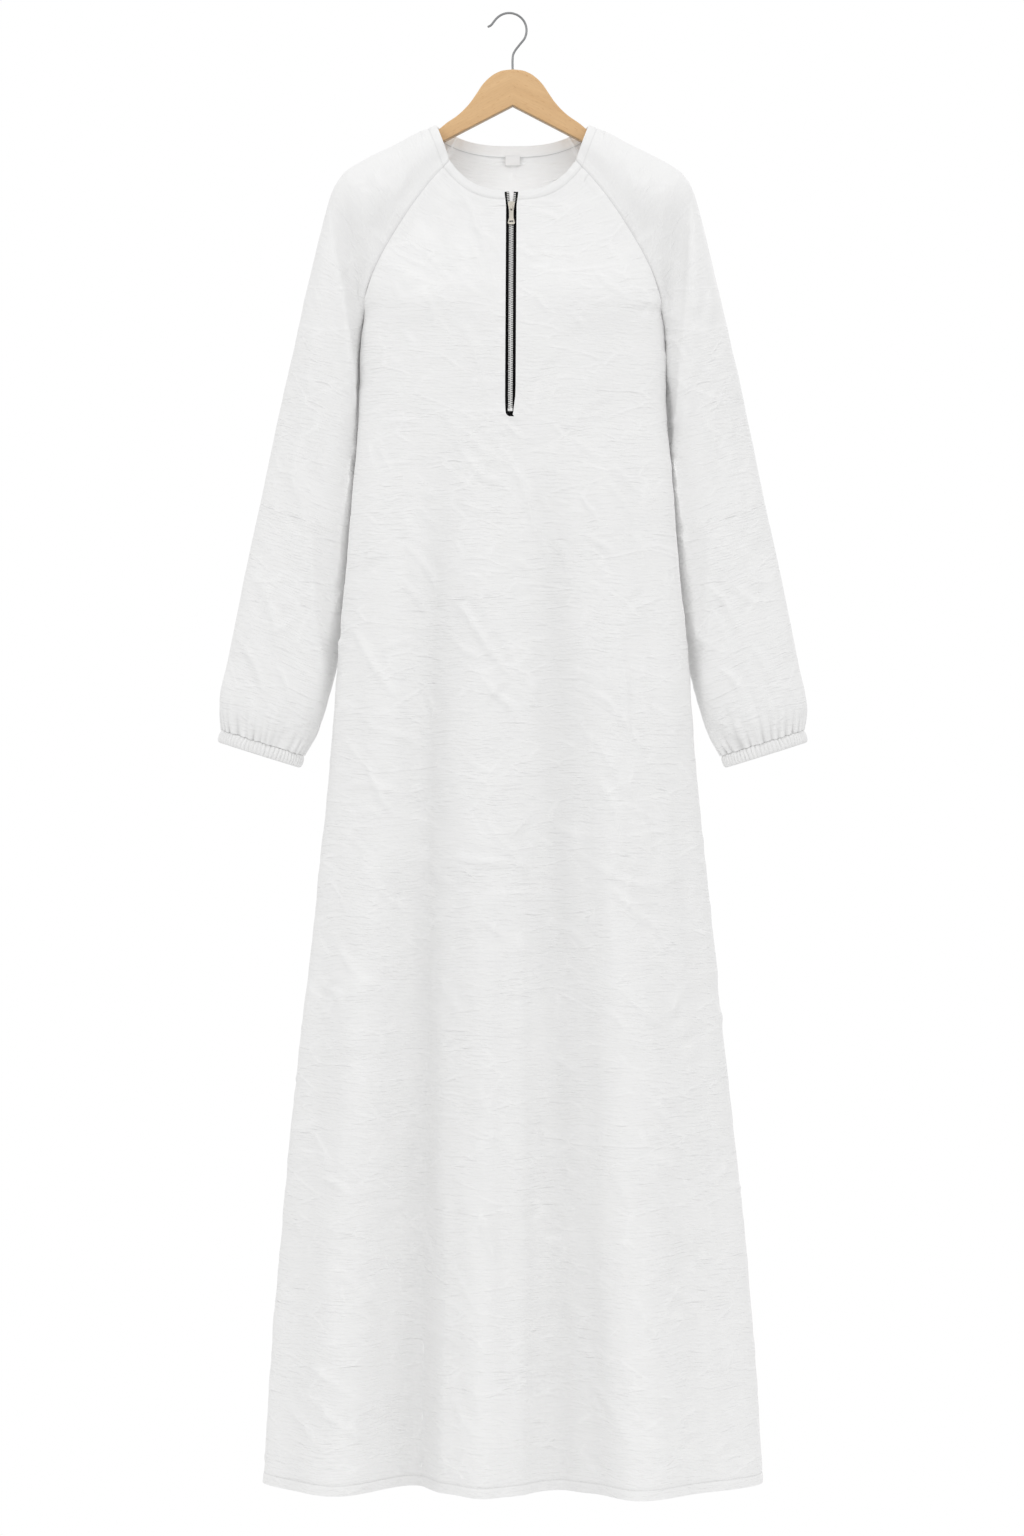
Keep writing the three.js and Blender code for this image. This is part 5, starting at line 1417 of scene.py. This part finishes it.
# ---- repeats along a path, by Geometry Nodes ----
def along_path_tree(name):
    """Copies of a piece along each line of the geometry, each at a set spacing, turned to follow it."""
    tree = bpy.data.node_groups.new(name, "GeometryNodeTree")
    face = tree.interface
    face.new_socket("Geometry", in_out="INPUT", socket_type="NodeSocketGeometry")
    wanted = {}
    for label, kind, value in (
        ("Piece", "NodeSocketObject", None),
        ("Spacing", "NodeSocketFloat", 0.003),
        ("Out", "NodeSocketVector", (0, -1, 0)),
        ("Unevenness", "NodeSocketFloat", 0.1),
        ("Seed", "NodeSocketInt", 1),
        ("Finish", "NodeSocketMaterial", None),
    ):
        socket = face.new_socket(label, in_out="INPUT", socket_type=kind)
        if value is not None:
            socket.default_value = value
        wanted[label] = socket.identifier
    face.new_socket("Geometry", in_out="OUTPUT", socket_type="NodeSocketGeometry")
    add = tree.nodes.new
    given, result = add("NodeGroupInput"), add("NodeGroupOutput")
    points = add("GeometryNodeCurveToPoints")
    points.mode = "LENGTH"
    follow, level = add("FunctionNodeAlignRotationToVector"), add("FunctionNodeAlignRotationToVector")
    follow.axis, level.axis, level.pivot_axis = "X", "Z", "X"
    low, high = add("ShaderNodeMath"), add("ShaderNodeMath")
    low.operation, high.operation = "SUBTRACT", "ADD"
    low.inputs[0].default_value = high.inputs[0].default_value = 1
    jitter = add("FunctionNodeRandomValue")
    jitter.data_type = "FLOAT"
    piece = add("GeometryNodeObjectInfo")
    copies, real, finish = (
        add("GeometryNodeInstanceOnPoints"),
        add("GeometryNodeRealizeInstances"),
        add("GeometryNodeSetMaterial"),
    )
    for start, output, end, socket in (
        (given, "Geometry", points, "Curve"),
        (given, "Spacing", points, "Length"),
        (points, "Tangent", follow, "Vector"),
        (follow, "Rotation", level, "Rotation"),
        (given, "Out", level, "Vector"),
        (given, "Unevenness", low, 1),
        (given, "Unevenness", high, 1),
        (low, 0, jitter, 2),
        (high, 0, jitter, 3),
        (given, "Seed", jitter, "Seed"),
        (given, "Piece", piece, "Object"),
        (points, "Points", copies, "Points"),
        (piece, "Geometry", copies, "Instance"),
        (level, "Rotation", copies, "Rotation"),
        (jitter, 1, copies, "Scale"),
        (copies, "Instances", real, "Geometry"),
        (real, "Geometry", finish, "Geometry"),
        (given, "Finish", finish, "Material"),
        (finish, "Geometry", result, "Geometry"),
    ):
        tree.links.new(start.outputs[output], end.inputs[socket])
    return tree, wanted


REPEAT_TREE, REPEAT_INPUTS = along_path_tree("repeat_along_path")


def repeated(name, lines, piece, spacing, finish, out=(0, -1, 0), unevenness=0.08, seed=5):
    """A plain mesh of a small piece repeated along lines of points, in millimetres."""
    curve = bpy.data.curves.new(name + "_lines", "CURVE")
    curve.dimensions = "3D"
    for line in lines:
        spline = curve.splines.new("POLY")
        spline.points.add(len(line) - 1)
        spline.points.foreach_set("co", np.c_[np.asarray(line) * MM, np.ones(len(line))].ravel())
    carrier = placed(name + "_lines", curve)
    modifier = carrier.modifiers.new("repeat", "NODES")
    modifier.node_group = REPEAT_TREE
    values = {
        "Piece": piece,
        "Spacing": spacing * MM,
        "Out": out,
        "Unevenness": unevenness,
        "Seed": seed,
        "Finish": FINISHES[finish],
    }
    for label, value in values.items():
        modifier[REPEAT_INPUTS[label]] = value
    evaluated = carrier.evaluated_get(bpy.context.evaluated_depsgraph_get())
    mesh = bpy.data.meshes.new_from_object(evaluated)
    mesh.name = name
    bpy.data.objects.remove(carrier)
    return placed(name, mesh)


def stitch():
    """One stitch: a short rounded stretch of thread."""
    shape = bmesh.new()
    bmesh.ops.create_icosphere(shape, subdivisions=1, radius=1)
    halves = (STITCH_LENGTH / 2 * MM, STITCH_THICK / 2 * MM, STITCH_THICK / 2 * MM)
    bmesh.ops.scale(shape, vec=halves, verts=shape.verts)
    mesh = mesh_of("stitch", shape)
    mesh.shade_smooth()
    return placed("stitch", mesh)


def stitch_line(cloth, columns, distance, from_end=False):
    """A line of points just over the face, at a distance from the cloth's top or foot."""
    stations = [at_distance(cloth, column, distance, from_end) for column in columns]
    return [point + normal * STITCH_LIFT for point, normal in stations]


def stitching(cloths):
    one = stitch()
    neck_lines = [stitch_line(cloth, columns, NECK_BAND) for cloth, columns in neck_columns(cloths)]
    neck = repeated("neck_stitches", neck_lines, one, 2.9, "thread")
    hem_lines = [
        stitch_line(cloth, range(1, cloth.points.shape[1] - 1), HEM_BAND, from_end=True)
        for cloth in cloths[:2]
    ]
    hem = repeated("hem_stitches", hem_lines, one, 3.1, "thread", seed=8)
    bpy.data.objects.remove(one)
    return neck, hem


# ---- zip ----
TAPE_BELOW = WALL + GAP + 0.15  # the tape's face below the cloth's
SLIDER_DROP = 206.3


def zip_out(drop):
    rise = (face_depth(drop + 1) - face_depth(drop - 1)) / 2
    out = np.stack([0 * rise, -1 + 0 * rise, rise], axis=-1)
    return out / np.linalg.norm(out, axis=-1, keepdims=True)


def branch_spread(drop):
    """How far each row of teeth stands from the zip's middle above its slider."""
    return 2.35 * smooth((SLIDER_DROP + 8 - drop) / 20)


def zip_place(drop, offset, sunk):
    """A point beside the zip's middle line, sunk below the cloth's face."""
    face = np.stack([zip_x(drop) + offset, -face_depth(drop), -drop], axis=-1)
    return face - zip_out(drop) * np.asarray(sunk)[..., None]


def zip_tape(side):
    """One tape: flat under the cloth, with a round bead along its toothed edge."""
    drops = np.linspace(NECK_FRONT_DROP + 0.4, ZIP_FOOT_DROP + 6, 90)
    shares = np.array([0, 0.03, 0.08, 0.14, 0.2, 0.4, 0.6, 0.8, 1])
    bead = np.array([0.75, 0.15, 0, 0.1, 0.42, 0.5, 0.5, 0.5, 0.5])
    inner = branch_spread(drops) + 0.12
    outer = zip_half_gap(np.minimum(drops, ZIP_FOOT_DROP)) + 4.6
    offset = side * mix(inner[:, None], outer[:, None], shares[None, :])
    level = np.repeat(drops[:, None], len(shares), axis=1)
    grid = zip_place(level, offset, TAPE_BELOW - 0.35 + bead[None, :] + 0 * level)
    normals = zip_out(level)
    if side < 0:
        grid, normals = grid[:, ::-1], normals[:, ::-1]
    return slab(f"zip_tape_{'right' if side > 0 else 'left'}_woven", grid, normals, 0.7)


def zip_tooth(side):
    """One tooth: a wide foot clamped on the tape's edge and a narrower head that meshes past the middle."""
    outline = ((-0.55, 0.45), (0.4, 0.52), (0.9, 0.62), (2.3, 0.62), (2.42, 0.5))
    ring = [*outline, *((u, -v) for u, v in reversed(outline))]
    shape = bmesh.new()
    # x follows the zip, y lies across it and z looks out
    base = [shape.verts.new((v * MM, side * u * MM, -1.1 * MM)) for u, v in ring]
    bottom_face = shape.faces.new(base)
    raised = bmesh.ops.extrude_face_region(shape, geom=[bottom_face])
    top_verts = [g for g in raised["geom"] if isinstance(g, bmesh.types.BMVert)]
    bmesh.ops.translate(shape, vec=(0, 0, 2.2 * MM), verts=top_verts)
    top_edges = [e for e in shape.edges if all(v.co.z > 0 for v in e.verts)]
    bmesh.ops.bevel(shape, geom=top_edges, offset=0.22 * MM, segments=1, affect="EDGES")
    bmesh.ops.recalc_face_normals(shape, faces=shape.faces)
    return placed("zip_tooth", mesh_of("zip_tooth", shape))


def zip_teeth():
    """Two rows of teeth that mesh below the slider and part above it."""
    pitch = 1.9
    rows = []
    for side in (LEFT, RIGHT):
        shift = 0 if side == LEFT else pitch / 2
        drops = np.arange(NECK_FRONT_DROP + 1.5 + shift, ZIP_FOOT_DROP - 9, pitch / 2)
        line = zip_place(drops, side * branch_spread(drops), 0 * drops + TAPE_BELOW + 0.35)
        tooth = zip_tooth(side)
        rows.append(repeated(f"teeth_{side}", [line], tooth, pitch, "teeth", (0, -1, 0.13), 0.0))
        bpy.data.objects.remove(tooth)
    return joined("zip_teeth_meshed", rows)


def joined(name, pieces):
    """Plain meshes as one object."""
    shape = bmesh.new()
    for piece in pieces:
        shape.from_mesh(piece.data)
    mesh = mesh_of(name, shape)
    for piece in pieces:
        bpy.data.objects.remove(piece)
    return placed(name, mesh)


def softened(name, node, width):
    """A copy of a hard node with its edges rounded over."""
    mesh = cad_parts[node].data.copy()
    shape = bmesh.new()
    shape.from_mesh(mesh)
    bmesh.ops.remove_doubles(shape, verts=shape.verts, dist=1e-6)
    bmesh.ops.dissolve_limit(shape, angle_limit=math.radians(2), verts=shape.verts, edges=shape.edges)
    shape.to_mesh(mesh)
    shape.free()
    made = placed(name, mesh)
    bevel = made.modifiers.new("round edges", "BEVEL")
    bevel.width = width * MM
    bevel.segments = 2
    bevel.limit_method = "ANGLE"
    bevel.angle_limit = math.radians(28)
    rounded = bpy.data.meshes.new_from_object(made.evaluated_get(bpy.context.evaluated_depsgraph_get()))
    made.modifiers.clear()
    made.data = rounded
    rounded.name = name
    rounded.shade_smooth()
    rounded.set_sharp_from_angle(angle=math.radians(35))
    return made


# ---- hanger and hook ----
def hanger_edges(x):
    """Drops of the bar's upper and under edges at a distance out from its middle."""
    out = np.arange(82, HANGER_HALF_WIDTH - 8, 10.0)  # where the cloth lies on the bar
    ridge = smooth_curve(*zip(*HANGER_SEAT))
    slope = (ridge(out + 1) - ridge(out - 1)) / 2
    seat = WALL + GAP + np.where(out < 94, 3.8, 2.2)  # deeper beside the neck's opening
    on_cloth = ridge(out) + seat * np.hypot(1, slope)
    crown = np.array(HANGER_CROWN)
    past_tip, tip_fall = 180, 9.5
    drops = np.r_[crown[:, 1], on_cloth, on_cloth[-1] + tip_fall]
    top = smooth_curve(np.r_[crown[:, 0], out, past_tip], drops)
    under = np.array(HANGER_UNDER)
    return top(x), np.interp(x, under[:, 0], under[:, 1])


def wooden_bar():
    """The bar as rounded sections, one after another from tip to tip."""
    tip, fine_from = HANGER_HALF_WIDTH - 1.5, 150
    to_tip = tip - (tip - fine_from) * (1 - np.linspace(0, 1, 22)[1:]) ** 2
    out = np.concatenate([np.linspace(0, fine_from, 90), to_tip])
    top, under = hanger_edges(out)
    middle, half = (top + under) / 2, (under - top) / 2
    end = clamp((tip - out) / 14)
    shrink = np.sqrt(1 - (1 - end) ** 2)
    half = half * np.maximum(shrink, 0.02)
    depth = HANGER_HALF_THICK * np.maximum(mix(0.45, 1, shrink), 0.02) * np.where(shrink < 0.05, 0.05, 1)
    around = np.linspace(0, 2 * math.pi, 40, endpoint=False)
    corner = 0.32  # superellipse power: square sides with rounded edges
    cos, sin = np.cos(around), np.sin(around)
    round_y = np.sign(sin) * np.abs(sin) ** corner
    high = np.abs(cos) ** corner
    edge_radius = 3.2  # about the same whatever the section's height
    sections = []
    order = [*[(-1, k) for k in range(len(out) - 1, 0, -1)], *[(1, k) for k in range(len(out))]]
    for side, k in order:
        radius = min(edge_radius, half[k] * 0.98, depth[k] * 0.98)
        straight = (half[k] - radius) * np.minimum(high * 1.02, 1) ** 0.5
        z = np.sign(cos) * (straight + radius * high**2)
        sections.append(np.stack([0 * z + side * out[k], depth[k] * round_y, -middle[k] + z], axis=-1))
    return tube_mesh("wooden_bar", np.array(sections))


def tube_mesh(name, rows):
    """A closed skin over rings of points, with an end cap on each end ring."""
    count, around = rows.shape[:2]
    faces = []
    for i in range(count - 1):
        for j in range(around):
            right = (j + 1) % around
            a, b = i * around, (i + 1) * around
            faces.append((a + j, a + right, b + right, b + j))
    faces.append(tuple(range(around))[::-1])
    faces.append(tuple((count - 1) * around + j for j in range(around)))
    made = mesh_object(name, (rows.reshape(-1, 3) * MM).tolist(), faces, sharp_degrees=40)
    shape = bmesh.new()
    shape.from_mesh(made.data)
    bmesh.ops.recalc_face_normals(shape, faces=shape.faces)
    shape.to_mesh(made.data)
    shape.free()
    return made


def hook_wire():
    """The hook: one round wire, bent over the rail, its tip rounded."""
    inside = HOOK_RADIUS - HOOK_WIRE
    centre_z = -math.sqrt(inside**2 - HOOK_CENTRE_X**2)  # so that the rail bears at the origin
    turn = np.radians(np.arange(-30, 136, 15))
    bend = np.stack([HOOK_CENTRE_X + HOOK_RADIUS * np.cos(turn), -(centre_z + HOOK_RADIUS * np.sin(turn))], 1)
    points = np.array([*HOOK_STEM, *bend, *HOOK_TIP], float)
    keys = np.arange(len(points))
    wanted = np.linspace(0, len(points) - 1, 260)
    points[:, 1] *= -1
    path = np.stack([smooth_spline(keys, points[:, k], wanted) for k in range(2)], 1)
    run = np.r_[0, np.cumsum(np.hypot(*np.diff(path, axis=0).T))]
    to_end = run[-1] - run
    radius = HOOK_WIRE * np.sqrt(np.clip(1 - (1 - clamp(to_end / HOOK_WIRE)) ** 2, 0.02, 1))
    tangent = np.gradient(path, axis=0)
    tangent /= np.linalg.norm(tangent, axis=1, keepdims=True)
    sides = 16
    angle = np.linspace(0, 2 * math.pi, sides, endpoint=False)
    side = np.stack([-tangent[:, 1], tangent[:, 0]], 1)
    rows = np.zeros((len(path), sides, 3))
    rows[..., 0] = path[:, :1] + side[:, :1] * radius[:, None] * np.cos(angle)
    rows[..., 1] = radius[:, None] * np.sin(angle)
    rows[..., 2] = path[:, 1:] + side[:, 1:] * radius[:, None] * np.cos(angle)
    return tube_mesh("hook_wire_bent", rows)


# ---- build ----
def build_cloth():
    front, keep = front_cloth()
    back = back_cloth()
    right = sleeve_cloth(RIGHT, RIGHT_SLEEVE_FRONT, RIGHT_BREAKS, 41)
    left = sleeve_cloth(LEFT, LEFT_SLEEVE_FRONT, LEFT_BREAKS, 51)
    cloths = (front, back, right, left)

    front_mesh, back_mesh = cloth_mesh("front_panel", front, keep), cloth_mesh("back_panel", back)
    front_piece = dress(front_mesh, "cloth", replaces=["front"])
    back_piece = dress(back_mesh, "cloth", replaces=["back"])
    for hand, cloth in (("right", right), ("left", left)):
        piece = cloth_mesh(f"{hand}_sleeve", cloth)
        dress(piece, "cloth", replaces=[f"sleeve_{hand}"])
    for hand, side in (("right", RIGHT), ("left", LEFT)):
        piece = dress(cuff(f"{hand}_cuff", side), "cuff", replaces=[f"cuff_{hand}"])
    strip = dress(neck_facing(cloths), "facing", replaces=["neck_facing"])
    ribbon = dress(neck_label(back), "label", replaces=["label"])
    for line in stitching(cloths):
        dress(line, "thread")


def build_zip():
    for side, node in ((LEFT, "zip_tape_left"), (RIGHT, "zip_tape_right")):
        piece = dress(zip_tape(side), "tape", replaces=[node])
    chains = ["zip_chain", "zip_chain_left", "zip_chain_right"]
    dress(zip_teeth(), "teeth", replaces=chains)
    dress(softened("zip_stop_clip", "zip_stop", 0.3), "teeth", replaces=["zip_stop"])
    dress(softened("slider_body", "zip_slider", 0.22), "slider", replaces=["zip_slider"])
    dress(softened("slider_pull", "zip_pull", 0.2), "slider", PULL_TAB, ["zip_pull"])


def build_hanger():
    dress(wooden_bar(), "wood", replaces=["hanger"])
    dress(hook_wire(), "hook", replaces=["hook"])


# ---- floor, light and camera ----
VIEW_DISTANCE = 3500
VIEW_HEIGHT_SEEN = 1619.7  # what the frame takes in at the garment's middle
VIEW_CENTRE = (-0.75, -794.5)  # x and z


def plain_floor():
    shape = bmesh.new()
    bmesh.ops.create_circle(shape, cap_ends=True, segments=96, radius=0.66)
    floor = placed("floor", mesh_of("floor", shape))
    floor.location.z = -1.76
    s = Shader("pale_floor", Roughness=0.9)
    tone = s.between(s.noise(s.place("Object"), 6, 2), (0.86, 0.86, 0.86), (0.9, 0.9, 0.9))
    floor.data.materials.append(s.finish(Base_Color=tone))


def soft_box(name, place, target, size, power, upward=(0, 0, 1)):
    lamp = bpy.data.lights.new(name, "AREA")
    lamp.shape = "RECTANGLE"
    lamp.size, lamp.size_y = size
    lamp.energy = power
    made = placed(name, lamp)
    made.location = Vector(place)
    back = (Vector(place) - Vector(target)).normalized()
    across = Vector(upward).cross(back).normalized()
    made.rotation_euler = Matrix((across, back.cross(across), back)).transposed().to_euler()
    made.visible_camera = False


def studio():
    """White surroundings that light the garment a little less than they show, and soft boxes."""
    world = bpy.data.worlds.new("white_studio")
    bpy.context.scene.world = world
    world.use_nodes = True
    nodes, links = world.node_tree.nodes, world.node_tree.links
    shown = nodes["Background"]
    lighting = nodes.new("ShaderNodeBackground")
    shown.inputs["Strength"].default_value = 1.0
    for background in (shown, lighting):
        background.inputs["Color"].default_value = (1, 1, 1, 1)
    direction, height = nodes.new("ShaderNodeTexCoord"), nodes.new("ShaderNodeSeparateXYZ")
    level = nodes.new("ShaderNodeMapRange")
    level.inputs["From Min"].default_value = -1
    level.inputs["To Min"].default_value, level.inputs["To Max"].default_value = 0.66, 0.98
    links.new(direction.outputs["Generated"], height.inputs[0])
    links.new(height.outputs[2], level.inputs["Value"])
    links.new(level.outputs[0], lighting.inputs["Strength"])
    choice, rays = nodes.new("ShaderNodeMixShader"), nodes.new("ShaderNodeLightPath")
    links.new(rays.outputs["Is Camera Ray"], choice.inputs[0])
    links.new(lighting.outputs[0], choice.inputs[1])
    links.new(shown.outputs[0], choice.inputs[2])
    links.new(choice.outputs[0], nodes["World Output"].inputs["Surface"])
    for name, place, size, power in (
        ("key_box", (-2.6, -2.9, 0.7), (1.6, 2.2), 14),
        ("front_box", (0.5, -4.3, 0.3), (1.6, 2.2), 8),
        ("fill_box", (3.0, -2.2, 0.2), (1.6, 2.2), 7),
        ("top_box", (0.4, -0.8, 2.2), (1.8, 1.4), 3.5),
        ("back_box", (1.8, 3.0, 0.6), (1.6, 2.2), 20),
    ):
        soft_box(name, place, (0, 0, -0.8), size, power)
    # thin cloth lets light through, so the inside of the neck is bright too
    soft_box("neck_glow", (0, -0.016, -0.222), (0, 0.004, -0.13), (0.16, 0.02), 0.032)
    # as does the pale backdrop that shows between each sleeve and the body
    for name, side in (("right_gap_glow", -1), ("left_gap_glow", 1)):
        top, foot = Vector((side * 0.1675, -0.014, -0.47)), Vector((side * 0.187, -0.014, -0.66))
        middle = (top + foot) / 2
        soft_box(name, middle, middle - Vector((0, 1, 0)), (0.004, 0.19), 0.003, upward=top - foot)
    bpy.context.scene.view_settings.view_transform = "Standard"


def camera():
    lens = bpy.data.cameras.new("camera")
    lens.sensor_width = 36
    lens.lens = 36 * VIEW_DISTANCE / VIEW_HEIGHT_SEEN
    made = placed("camera", lens)
    made.location = (VIEW_CENTRE[0] * MM, -VIEW_DISTANCE * MM, VIEW_CENTRE[1] * MM)
    made.rotation_euler = (math.pi / 2, 0, 0)
    bpy.context.scene.camera = made


camera()
studio()
plain_floor()
build_cloth()
build_zip()
build_hanger()
